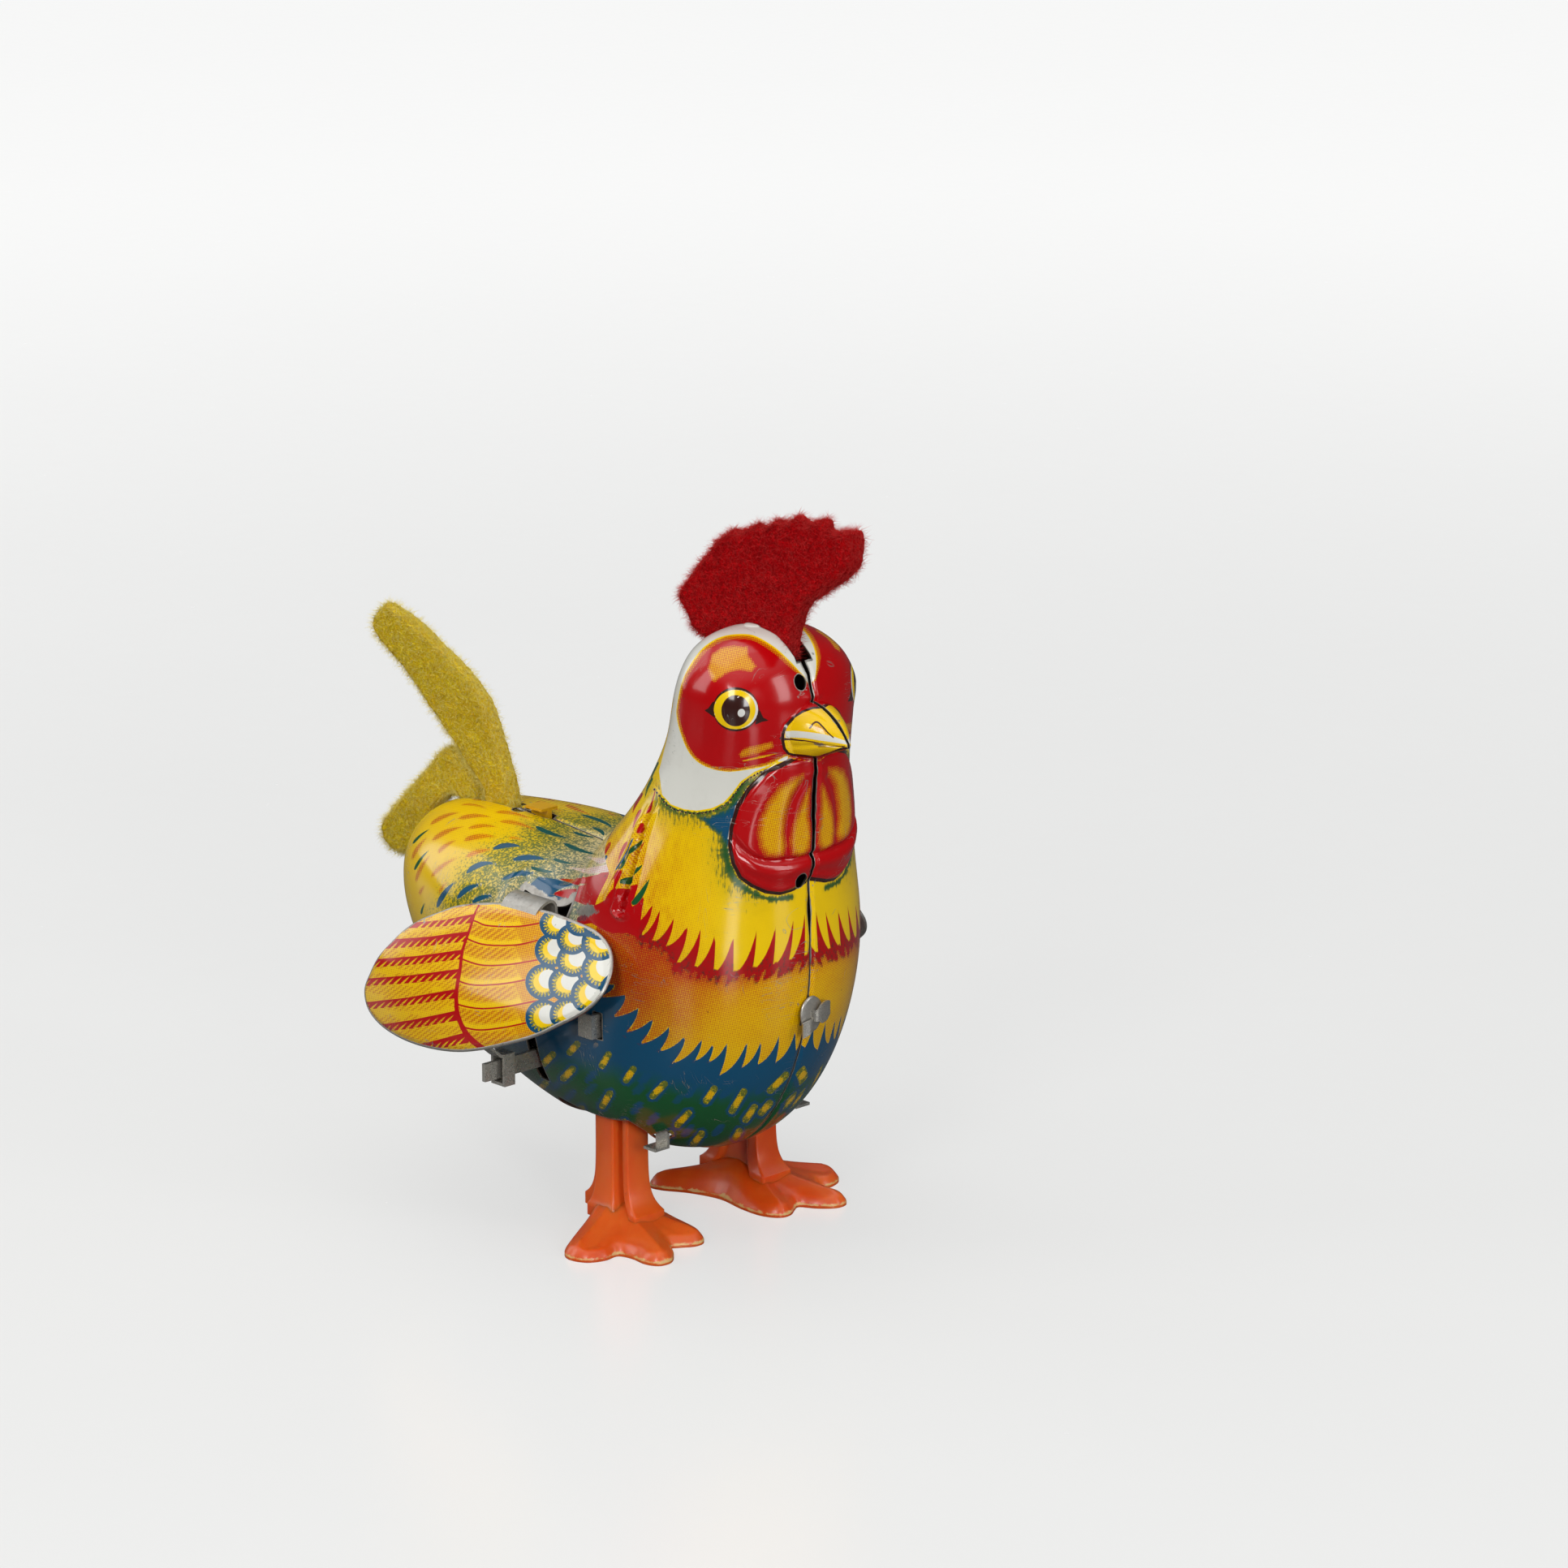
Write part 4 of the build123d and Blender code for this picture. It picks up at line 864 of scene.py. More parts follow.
def relief(drawn):
    """Pressed relief of the half shell, in millimetres outwards."""
    def bell(offset, width):
        return np.exp(-(offset / width) ** 2)

    wattle = -outline_distance(drawn, curve(WATTLE, 4, True))
    on_wattle = smooth(0, 6, wattle)
    rise = 0.75 * smooth(0, 9, wattle) + 0.35 * smooth(8, 26, wattle)
    fold = curve([(895, 1022), (914, 1046), (936, 1058), (965, 1059), (1004, 1050)], 5)
    distance, _, side, _ = line_distance(drawn, fold)
    rise -= 0.55 * bell(distance, 3.6) * on_wattle
    rise += 0.30 * bell(distance - 13, 7.0) * on_wattle * (side > 0)
    fold = curve(NECK([(1180, 150), (1120, 280), (1100, 420), (1100, 560)]), 4)
    rise -= 0.28 * bell(line_distance(drawn, fold)[0], 4.5) * on_wattle
    eye = np.hypot((drawn[:, 0] - 906.6) / 31, (drawn[:, 1] - 874) / 29)
    rise += 0.35 * smooth(1.15, 0.0, eye)
    rise += 0.40 * smooth(-2, 5, -outline_distance(drawn, BEAK))
    # pressed teardrop groove beside the wing root, and a ridge next to it
    groove = curve(NECK([(395, 250), (330, 410), (275, 590), (225, 760), (200, 860)]), 6)
    distance, along, _, length = line_distance(drawn, groove)
    width = 2.0 + 3.6 * (along / length) ** 1.5
    rise -= 1.15 * smooth(1.0, 0.3, distance / (width + 1.2)) * smooth(0, 25, along)
    rise += 0.50 * bell(distance - width - 3.0, 2.0) * smooth(0, 30, along)
    ridge = curve(NECK([(330, 330), (262, 500), (205, 620), (140, 760), (110, 830)]), 6)
    distance, along, _, length = line_distance(drawn, ridge)
    rise += (0.45 * bell(distance, 3.2) * smooth(0, 20, along)
             * smooth(length, length - 15, along))
    return rise


# ------------------------------------------------------------------ materials
def srgb(*channels):
    """Linear colour from 8-bit channels."""
    parts = [c / 255.0 for c in channels]
    return tuple(c / 12.92 if c <= 0.04045 else ((c + 0.055) / 1.055) ** 2.4
                 for c in parts) + (1.0,)


class Tree:
    """A node tree around one Principled surface."""

    def __init__(self, name):
        self.mat = bpy.data.materials.new(name)
        self.mat.use_nodes = True
        self.nodes, self.links = self.mat.node_tree.nodes, self.mat.node_tree.links
        self.nodes.clear()
        out = self.node("ShaderNodeOutputMaterial")
        self.bsdf = self.node("ShaderNodeBsdfPrincipled")
        self.links.new(self.bsdf.outputs[0], out.inputs[0])
        self.coord = self.node("ShaderNodeTexCoord").outputs["Object"]

    def node(self, kind, **settings):
        node = self.nodes.new(kind)
        for key, value in settings.items():
            setattr(node, key, value)
        return node

    def plug(self, socket, value):
        if isinstance(value, bpy.types.NodeSocket):
            self.links.new(value, socket)
        elif value is not None:
            socket.default_value = value

    def math(self, operation, *values):
        node = self.node("ShaderNodeMath", operation=operation)
        for socket, value in zip(node.inputs, values):
            self.plug(socket, value)
        return node.outputs[0]

    def add(self, a, b):
        return self.math("ADD", a, b)

    def times(self, a, b):
        return self.math("MULTIPLY", a, b)

    def scaled(self, value, gain, base):
        return self.math("MULTIPLY_ADD", value, gain, base)

    def most(self, a, b):
        return self.math("MAXIMUM", a, b)

    def step(self, value, start, end, low=0.0, high=1.0):
        """Smooth step from low at start to high at end."""
        node = self.node("ShaderNodeMapRange", interpolation_type="SMOOTHSTEP")
        for socket, item in zip(node.inputs, (value, start, end, low, high)):
            self.plug(socket, item)
        return node.outputs[0]

    def mix(self, share, a, b, blend="MIX"):
        node = self.node("ShaderNodeMix", data_type="RGBA", blend_type=blend)
        for i, value in ((0, share), (6, a), (7, b)):
            self.plug(node.inputs[i], value)
        return node.outputs[2]

    def noise(self, scale, detail=3.0, rough=0.55, vector=None, distortion=0.0):
        node = self.node("ShaderNodeTexNoise")
        self.plug(node.inputs["Vector"], vector or self.coord)
        node.inputs["Scale"].default_value = scale
        node.inputs["Detail"].default_value = detail
        node.inputs["Roughness"].default_value = rough
        node.inputs["Distortion"].default_value = distortion
        return node.outputs[0]

    def voronoi(self, scale):
        node = self.node("ShaderNodeTexVoronoi")
        self.plug(node.inputs["Vector"], self.coord)
        node.inputs["Scale"].default_value = scale
        return node.outputs[0]

    def vector(self, name):
        return self.node("ShaderNodeAttribute", attribute_name=name).outputs["Vector"]

    def attribute(self, name):
        """The three parts of a stored vector."""
        node = self.node("ShaderNodeSeparateXYZ")
        self.links.new(self.vector(name), node.inputs[0])
        return node.outputs[0], node.outputs[1], node.outputs[2]

    def stretch(self, vector, factors):
        node = self.node("ShaderNodeVectorMath", operation="MULTIPLY")
        self.plug(node.inputs[0], vector)
        node.inputs[1].default_value = factors
        return node.outputs[0]

    def bump(self, height, strength, distance):
        node = self.node("ShaderNodeBump")
        node.inputs["Strength"].default_value = strength
        node.inputs["Distance"].default_value = distance
        self.plug(node.inputs["Height"], height)
        return node.outputs[0]

    def surface(self, **values):
        """Sets Principled inputs; an underscore stands for a space in the input's name."""
        for key, value in values.items():
            self.plug(self.bsdf.inputs[key.replace("_", " ")], value)
        return self.mat


def printed_tin():
    """Printed tinplate: screened inks over a white coat, varnish, scratches and worn edges."""
    tree = Tree("litho_print")
    add, times, step, noise, mix = tree.add, tree.times, tree.step, tree.noise, tree.mix
    yellow, red, blue = tree.attribute("ink_a")
    dark, white, wear = tree.attribute("ink_b")
    tint_y, tint_r, tint_b = tree.attribute("tint")
    edge, draw_x, draw_y = tree.attribute("place")
    fine = noise(scale=1400.0, detail=2.0, rough=0.6)

    # screen: two crossed rulings in the plane of the drawing, pitch in mm, angle in radians
    pitch, angle = 0.44, 0.6
    ca, sa = cos(angle) * 2 * pi / pitch, sin(angle) * 2 * pi / pitch
    ruling_a = add(times(draw_x, ca), times(draw_y, sa))
    ruling_b = add(times(draw_x, -sa), times(draw_y, ca))
    ruling = times(tree.math("SINE", ruling_a), tree.math("SINE", ruling_b))
    dots = tree.scaled(ruling, 0.5, 0.5)
    grain = noise(scale=3300.0, detail=1.0, rough=0.5)
    red_screen = tree.scaled(dots, 0.72, times(grain, 0.28))
    # the blue screen turns from grain to bristles on the neck
    across = tree.stretch(tree.vector("place"), (0.0, 2.6, 0.55))
    bristle = noise(scale=1.0, detail=3.0, rough=0.6, vector=across)
    on_neck = times(step(draw_x, 113.0, 116.0), step(draw_y, 164.0, 160.0))
    blue_screen = mix(on_neck, noise(scale=2300.0, detail=2.0, rough=0.65), bristle)

    def solid(distance):
        return step(distance, -0.25, 0.25)

    def screened(tint, screen):
        """Share of ink: a soft threshold of the screen against the tint."""
        level = tree.scaled(screen, 1.9, -0.45)
        share = step(tree.math("SUBTRACT", tint, level), -0.16, 0.16)
        share = add(times(share, 0.58), times(tint, 0.42))
        full = step(tint, 0.93, 1.0)
        some = step(tint, 0.0, 0.05)
        return times(tree.most(share, full), some)
    yellow = tree.most(solid(yellow), tint_y)
    red = tree.most(solid(red), screened(tint_r, red_screen))
    blue = tree.most(solid(blue), screened(tint_b, blue_screen))
    # each pair is without and with yellow
    plain = mix(yellow, srgb(216, 215, 206), srgb(238, 198, 2))
    reds = mix(yellow, srgb(196, 62, 66), srgb(176, 2, 8))
    blues = mix(yellow, srgb(10, 74, 108), srgb(16, 82, 40))
    both = mix(yellow, srgb(66, 52, 74), srgb(66, 40, 30))
    color = mix(blue, mix(red, plain, reds), mix(red, blues, both))
    color = mix(solid(dark), color, srgb(52, 24, 20))
    color = mix(solid(white), color, srgb(214, 213, 208))
    # age: faint brown film and specks
    film = step(noise(scale=90.0, detail=5.0, rough=0.7), 0.50, 0.80)
    color = mix(times(film, 0.10), color, srgb(120, 84, 40), "MULTIPLY")
    specks = times(step(tree.voronoi(420.0), 0.085, 0.05), step(noise(scale=160.0), 0.56, 0.64))
    color = mix(times(specks, 0.65), color, srgb(70, 46, 26))

    def scratches(stretch, distortion, level, patch_scale, patch_start, patch_end):
        """Thin lines where stretched noise crosses a level, in patches."""
        lines = noise(60.0, 2.0, 0.5, tree.stretch(tree.coord, stretch), distortion)
        gap = tree.math("ABSOLUTE", tree.math("SUBTRACT", lines, level))
        patch = step(noise(scale=patch_scale, detail=1.0), patch_start, patch_end)
        return times(step(gap, 0.006, 0.002), patch)
    scratch = tree.most(scratches((14.0, 1.6, 2.4), 0.6, 0.50, 130.0, 0.60, 0.68),
                        scratches((1.8, 2.0, 15.0), 0.8, 0.47, 110.0, 0.62, 0.70))
    # bare metal at the cut edges, in chips near them, and where wear is marked
    ragged = tree.scaled(noise(scale=300.0, detail=4.0, rough=0.7), 0.75, -0.22)
    bare = step(tree.math("SUBTRACT", ragged, edge), -0.03, 0.05)
    chips = times(step(noise(scale=520.0, detail=3.0, rough=0.6), 0.66, 0.70),
                  step(edge, 2.2, 0.4))
    worn = tree.scaled(noise(scale=600.0, detail=4.0, rough=0.7), 0.9, -0.45)
    marked = step(add(wear, worn), 0.42, 0.58)
    bare = tree.most(tree.most(bare, marked), times(chips, 0.9))
    bare = tree.most(bare, times(scratch, 0.7))
    metal = mix(noise(scale=800.0, detail=4.0, rough=0.7), srgb(196, 192, 184),
                srgb(112, 106, 98))
    rust = times(step(noise(scale=240.0, detail=5.0, rough=0.7), 0.54, 0.66), 0.55)
    metal = mix(rust, metal, srgb(120, 78, 48))
    # dark line right at the cut edge
    color = mix(times(step(edge, 0.10, 0.0), 0.8), color, srgb(40, 30, 24))
    color = mix(bare, color, metal)
    height = add(times(noise(scale=210.0, detail=3.0), 0.5), times(fine, 0.10))
    height = tree.math("SUBTRACT", height, times(bare, 0.35))
    normal = tree.bump(height, strength=0.22, distance=0.00012)
    rough = tree.scaled(noise(scale=320.0, detail=4.0), 0.12, 0.12)
    return tree.surface(
        Base_Color=color, Metallic=times(bare, 0.85), Roughness=tree.scaled(bare, 0.18, rough),
        Normal=normal, Coat_Weight=tree.scaled(bare, -0.25, 0.3),
        Coat_Roughness=tree.scaled(noise(scale=260.0, detail=3.0), 0.08, 0.03),
        Specular_IOR_Level=0.36)


def bare_metal(name, light, dark, rough, scale, rust, metal, stretch=(1.0, 1.0, 1.0)):
    """Mottled metal from light to dark, with a share of rust; scale sets the mottling."""
    tree = Tree(name)
    light, dark = srgb(*light), srgb(*dark)
    fine = tree.noise(scale, 5.0, 0.7, tree.stretch(tree.coord, stretch))
    broad = tree.noise(scale=scale * 0.25, detail=4.0, rough=0.6)
    color = tree.mix(fine, light, dark)
    color = tree.mix(tree.step(broad, 0.45, 0.75), color, tree.mix(0.5, light, dark))
    spots = tree.step(tree.noise(scale=scale * 0.5, detail=6.0, rough=0.75), 0.55, 0.70)
    spots = tree.times(spots, rust)
    color = tree.mix(spots, color, srgb(112, 74, 48))
    roughness = tree.scaled(tree.noise(scale=scale * 1.4, detail=3.0), 0.3, rough - 0.12)
    return tree.surface(Base_Color=color, Metallic=tree.scaled(spots, -0.8, metal),
                        Roughness=tree.scaled(spots, 0.4, roughness),
                        Normal=tree.bump(fine, strength=0.25, distance=0.0001))


def felt(name, base, dark, light):
    tree = Tree(name)
    step, times, mix = tree.step, tree.times, tree.mix
    base, dark, light = srgb(*base), srgb(*dark), srgb(*light)
    nap = tree.noise(1500.0, 5.0, 0.75, tree.stretch(tree.coord, (1.0, 1.0, 1.0)), 0.6)
    strands = tree.noise(700.0, 3.0, 0.6, tree.stretch(tree.coord, (1.0, 2.2, 2.6)), 2.5)
    broad = tree.noise(scale=130.0, detail=3.0, rough=0.6)
    color = mix(step(nap, 0.30, 0.70), dark, base)
    color = mix(times(step(strands, 0.52, 0.72), 0.45), color, light)
    color = mix(times(step(broad, 0.42, 0.70), 0.35), color, dark)
    ridge = tree.math("ABSOLUTE", tree.math("SUBTRACT", strands, 0.5))
    height = tree.add(times(nap, 0.6), times(step(ridge, 0.06, 0.0), 0.6))
    return tree.surface(
        Base_Color=color, Roughness=0.95, Normal=tree.bump(height, strength=0.9, distance=0.0005),
        Sheen_Weight=0.16, Sheen_Roughness=0.5, Sheen_Tint=light, Specular_IOR_Level=0.06,
        Subsurface_Weight=0.08, Subsurface_Scale=0.001)


def fibre(name, base, light):
    tree = Tree(name)
    light = srgb(*light)
    color = tree.mix(tree.noise(scale=900.0, detail=2.0), srgb(*base), light)
    return tree.surface(Base_Color=color, Roughness=0.9, Sheen_Weight=0.15, Sheen_Roughness=0.5,
                        Specular_IOR_Level=0.06, Sheen_Tint=light)


def orange_plastic():
    """Swirled orange plastic, pale where its edges are worn."""
    tree = Tree("plastic_orange")
    noise, step, times, mix = tree.noise, tree.step, tree.times, tree.mix
    swirl = noise(70.0, 3.0, 0.5, tree.stretch(tree.coord, (1.0, 1.0, 0.6)), 1.2)
    color = mix(step(swirl, 0.35, 0.7), srgb(212, 74, 12), srgb(222, 98, 32))
    edge = tree.attribute("place")[0]
    ragged = times(noise(scale=500.0, detail=4.0, rough=0.7), 0.9)
    worn = step(tree.add(edge, ragged), 0.62, 0.44)
    color = mix(times(worn, 0.85), color, srgb(224, 184, 120))
    dirt = step(noise(scale=420.0, detail=5.0, rough=0.75), 0.60, 0.78)
    color = mix(times(dirt, 0.35), color, srgb(120, 48, 20))
    height = tree.add(noise(scale=160.0, detail=3.0), times(noise(scale=1100.0, detail=2.0), 0.12))
    rough = tree.scaled(noise(scale=240.0, detail=4.0), 0.22, 0.22)
    return tree.surface(
        Base_Color=color, Roughness=tree.scaled(worn, 0.3, rough), Subsurface_Weight=0.5,
        Subsurface_Scale=0.0025, Subsurface_Radius=(1.0, 0.35, 0.10), Specular_IOR_Level=0.5,
        Normal=tree.bump(height, strength=0.25, distance=0.0003),
        Coat_Weight=0.15, Coat_Roughness=0.2)


PRINT = printed_tin()
INSIDE = bare_metal("tin_inside", (186, 180, 168), (120, 110, 96), rough=0.42, scale=500.0,
                    rust=0.5, metal=0.75)
CUT_EDGE = bare_metal("tin_cut_edge", (150, 144, 134), (60, 52, 44), rough=0.38, scale=1500.0,
                      rust=0.5, metal=0.9)
TIN = bare_metal("tin_bare", (206, 203, 196), (122, 118, 110), rough=0.30, scale=900.0,
                 rust=0.40, metal=0.70)
STEEL = bare_metal("steel_plate", (206, 203, 194), (158, 154, 146), rough=0.26, scale=1100.0,
                   rust=0.22, metal=0.80, stretch=(1.0, 1.0, 6.0))
SPRING = bare_metal("steel_blued", (58, 66, 88), (30, 32, 42), rough=0.28, scale=800.0,
                    rust=0.15, metal=0.95)
BRASS = bare_metal("brass_cut", (200, 160, 84), (140, 100, 44), rough=0.32, scale=900.0,
                   rust=0.15, metal=0.95)
WHITE_COAT = bare_metal("tin_white_coat", (214, 214, 208), (176, 174, 166), rough=0.30,
                        scale=400.0, rust=0.25, metal=0.05)
RED_FELT = felt("felt_red", base=(214, 2, 12), dark=(140, 0, 6), light=(236, 40, 44))
YELLOW_FELT = felt("felt_yellow", base=(250, 220, 30), dark=(216, 168, 6), light=(255, 242, 120))
RED_FIBRE = fibre("fibre_red", base=(178, 8, 18), light=(222, 70, 66))
YELLOW_FIBRE = fibre("fibre_yellow", base=(228, 202, 48), light=(246, 234, 150))
ORANGE = orange_plastic()


# ------------------------------------------------------------------ body shells
def printed_table(points, art, wear, edge):
    """Positions and print as carried columns, three to a vector; edge in millimetres."""
    ink = {k: np.clip(v, -3, 3) for k, v in art.ink.items()}
    return np.column_stack([
        points, ink["Y"], ink["R"], ink["B"], ink["K"], ink["W"], wear,
        art.tint["Y"], art.tint["R"], art.tint["B"], np.clip(edge, 0, 5), art.points / UNITS])


def table_attributes(table):
    names = ("ink_a", "ink_b", "tint", "place")
    return {name: table[:, 3 * i:3 * i + 3] for i, name in enumerate(names, 1)}


EDGE_COLUMN = 12                        # of a printed table
NO_HOLE = 99.0                          # mm, stands for no opening near


def nearest_hole(holes):
    """Least distance to the holes, each a signed distance and the region it counts in."""
    return np.minimum.reduce([np.where(region, distance, NO_HOLE) for distance, region in holes],
                             initial=NO_HOLE)


def shell_openings(x, y, z):
    """Signed distances to the openings of the right and the left shell."""
    leg = [(-12.6, -1), (14.2, -1), (14.2, 8.0), (10.4, 12.0), (10.4, 17.4), (8.8, 19.6),
           (-9.4, 19.6), (-12.6, 16.0)]
    comb = [(6.4, 98.0), (6.4, 114.0), (31.6, 114.0), (31.6, 104.0), (27.0, 98.0)]
    comb_gap = np.maximum(outline_distance(np.stack([x, z], 1), comb), -y - 1.55)
    shared = [
        (outline_distance(np.stack([x, -y], 1), leg), z < 25),
        (wing_slot(x, y), on_shoulder(z)),
        (box_distance(x, z, -9.5, 31.0, 1.4, 4.4), y < -15),            # tall slot in the side
        (box_distance(x, z, 7.6, 41.0, 1.0, 2.4), y < -15),             # short slot in the side
        (box_distance(x, y, 12.7, -15.4, 1.8, 0.8), z < 26),            # slot underneath
        (comb_gap, z > 96),
        (box_distance(x, y, -50.7, 0.0, 9.7, 1.55), z > 57),            # under the tail felt
        (np.sqrt((y + 1.5) ** 2 + (x + 39.4) ** 2) - 1.3, z > 60),      # round hole on the back
        (box_distance(y, z, 0.0, 43.4, 1.2, 2.0), x > 28),              # under the breast clip
        (box_distance(x, y, -35.2, 0.0, 2.8, 1.2), z > 60),             # slot on the back seam
    ]
    right_only = [(np.sqrt((y + across) ** 2 + (z - height) ** 2) - 1.3, x > 25)
                  for across, height in ((2.3, 101.5), (2.4, 67.3))]    # round holes in front
    key = [(np.sqrt((x + 24.0) ** 2 + (z - 33.0) ** 2) - 3.2, y < -15)]
    both = nearest_hole(shared)
    return np.minimum(both, nearest_hole(right_only)), both, nearest_hole(key)


def wing_slot(x, y):
    return box_distance(x, y, -11.0, -21.9, 6.0, 1.8)


def on_shoulder(z):
    return (z > 50) & (z < 64)


def print_nape(art, hidden, rows, z, arc):
    """Feather strokes down the back of the neck, in staggered cells."""
    nape = hidden & (rows > 11.4) & (rows < 19.0) & (art.ink["Y"] > 0.5) & (z > 56)
    for k in "RBK":
        art.ink[k][nape] = np.minimum(art.ink[k][nape], -3.0)
    column = np.floor(arc / 2.3)
    drop = (z + 0.45 * arc) / 5.4 + 0.5 * (column % 2)
    row = np.floor(drop)
    hash_a = hash1(column * 7 + row * 131, 51)
    hash_b = hash1(column * 13 + row * 57, 52)
    across = arc / 2.3 - column - 0.5 + 0.24 * (hash_b - 0.5)
    down = drop - row - 0.5 + 0.16 * (hash_a - 0.5)
    dab = (1 - np.sqrt((across / (0.27 - 0.22 * down)) ** 2 + (down / 0.40) ** 2)) * 3.4
    for low, high, k in ((0.0, 0.40, "R"), (0.40, 0.72, "B")):
        pick = nape & (hash_a >= low) & (hash_a < high) & (dab > -3)
        art.ink[k][pick] = np.maximum(art.ink[k][pick], dab[pick])


# root of the neck on the drawing plane
NECK_ROOT = [(815, 951), (798, 982), (781, 1013), (768, 1043), (762, 1055), (753, 1073),
             (747, 1086), (736, 1109), (729, 1122), (715, 1150)]


def body_shell():
    """Table and faces of the uncut right shell, and its openings (right, left, key)."""
    rows = np.concatenate([np.linspace(a, b, int(count / COARSE), endpoint=b == ROW_SPANS[-1][1])
                           for a, b, count in ROW_SPANS])
    columns = int(230 / COARSE)
    grid, travel = body_grid(rows, columns)
    tail = cap_rows(grid[0], 6, (-1.0, 0, 0))[::-1]
    crown = cap_rows(grid[-1], 5, (0, 0, 0.45))
    grid = np.concatenate([np.array(tail), grid, np.array(crown)])
    travel = np.concatenate([np.repeat(travel[:1], len(tail), 0), travel,
                             np.repeat(travel[-1:], len(crown), 0)])
    normals = grid_normals(grid)
    drawn, facing = unroll(grid, travel, normals)
    facing = facing.ravel()
    arc = travel.ravel()                                # from the back seam
    front_arc = (travel[:, -1:] - travel).ravel()       # from the front seam
    seam = np.minimum(arc, front_arc)
    place, normals, drawn = grid.reshape(-1, 3), normals.reshape(-1, 3), drawn.reshape(-1, 2)
    x, y, z = place.T
    row = np.repeat(np.concatenate([np.zeros(len(tail)), rows, np.full(len(crown), 21.0)]),
                    columns)
    root_x, root_y = zip(*NECK_ROOT)
    root = np.interp(drawn[:, 1], root_y, root_x)
    art = print_body(drawn, place, (row > 12.2) | ((drawn[:, 0] > root) & (row > 8.6)))
    ink, tint = art.ink, art.tint
    # the back's shading runs out softly where it turns up into the neck
    hidden = facing < 0.06
    fade = np.where(hidden & (row <= 12.2), smooth(10.6, 12.2, row), 0)
    tint["B"] *= 1 - fade
    tint["Y"] = np.where((ink["Y"] < 0) & (fade > 0), tint["Y"] * (1 - fade) + fade, tint["Y"])
    # plain yellow on the far side of the rump
    tint["R"] *= 1 - smooth(0.25, 0.0, facing) * smooth(-12, -20, x) * (ink["Y"] > 0)
    print_nape(art, hidden, row, z, arc)
    openings = shell_openings(x, y, z)
    right_hole = openings[0]

    # seam: the edges turn in, and part a little where the sheet is sprung
    def bell(value, centre, width):
        return np.exp(-((value - centre) / width) ** 2)

    in_front = front_arc < seam + 1e-6
    gap = (0.07 + (0.10 * smooth(13.0, 13.8, row) + 0.24 * bell(row, 12.75, 0.25)) * in_front
           + 0.24 * bell(row, 15.0, 1.3) * in_front + 0.26 * bell(row, 18.8, 1.0) * in_front
           + 0.05 * noise2(row * 4, row * 0, 4))
    wave = (noise2(row * 5.2, row * 0 + 3, 6) - 0.5) * bell(row, 16.5, 3.0) * in_front
    turn = 0.34 * smooth(0.9, 0.0, seam)
    points = place + normals * (relief(drawn) - turn)[:, None]
    points[:, 1] = np.minimum(points[:, 1], 0) - gap * smooth(3.0, 0.0, seam)
    points[:, 0] += wave * 0.5 * smooth(3.0, 0.0, seam)
    # pressed ledge along the wing slot
    slot, shoulder = wing_slot(x, y), on_shoulder(z)
    ledge = -0.45 * smooth(2.6, 0.2, slot) + 0.35 * bell(slot, 2.8, 0.9)
    points += np.where(shoulder[:, None], normals * ledge[:, None], 0)

    def worn_spot(cx, cy, radius_x, radius_y):
        return bell(np.hypot((drawn[:, 0] - cx) / radius_x, (drawn[:, 1] - cy) / radius_y), 0, 1)

    wear = np.maximum.reduce([
        np.where(shoulder, 0.75 * smooth(2.4, 0.3, slot), 0),
        0.74 * worn_spot(724, 1122, 19, 11),
        0.62 * worn_spot(1008, 917.5, 11, 3.6),
        np.where(right_hole < 90, 0.55 * smooth(0.9, 0.0, right_hole) * (z < 26), 0)])
    table = printed_table(points, art, wear, np.minimum(np.maximum(right_hole, 0), seam))
    left_table = table.copy()
    left_table[:, EDGE_COLUMN] = np.minimum.reduce([
        np.clip(openings[1], 0, 5), seam, np.maximum(openings[2], 0)])
    return table, left_table, quads(len(grid), columns), openings


# x, top, bottom and half width of the beak
BEAK_STATIONS = [
    (29.0, 98.5, 87.4, 6.5), (30.0, 98.4, 87.6, 6.4), (34.0, 97.8, 88.2, 5.6),
    (36.8, 96.9, 89.2, 4.3), (39.2, 95.4, 90.2, 2.9), (41.0, 93.6, 90.9, 1.4),
    (41.9, 92.4, 91.3, 0.55)]


def beak_shell():
    """Right half of the beak, a hooked half cone that stands out of the face."""
    rows, columns = int(70 / COARSE), int(60 / COARSE)
    stations = natural_spline(BEAK_STATIONS)(np.linspace(0, len(BEAK_STATIONS) - 1, rows))
    x, top, bottom, width = (stations[:, k:k + 1] for k in range(4))
    angle = np.linspace(0, pi, columns)
    # the mouth: the upper half overhangs the lower
    bite = np.exp(-((angle - 1.95) / 0.10) ** 2)
    y = (np.maximum(width, 0.2) * np.sin(angle) ** 0.8
         - 0.32 * bite * smooth(0.0, 1.2, width) * np.sin(angle))
    grid = np.zeros((rows, columns, 3))
    grid[:, :, 0] = x
    grid[:, :, 1] = -y
    grid[:, :, 2] = (top + bottom) / 2 + (top - bottom) / 2 * np.cos(angle)
    grid[:, 0, 1] = grid[:, -1, 1] = 0
    grid = np.concatenate([grid, np.array(cap_rows(grid[-1], 4, (0.25, 0, -0.1)))])
    place = grid.reshape(-1, 3)
    drawn = project(place)
    art = print_body(drawn, place, np.ones(len(drawn), bool))
    wear = 0.62 * np.exp(
        -(np.hypot((drawn[:, 0] - 1012) / 16, (drawn[:, 1] - 917.5) / 4.2)) ** 2)
    seam = np.minimum(-place[:, 1], 5)
    points = place.copy()
    points[:, 1] -= (0.14 + 0.22 * smooth(90.0, 97.0, place[:, 2])) * smooth(2.2, 0, seam)
    return printed_table(points, art, wear, seam + 0.05), quads(len(grid), columns)


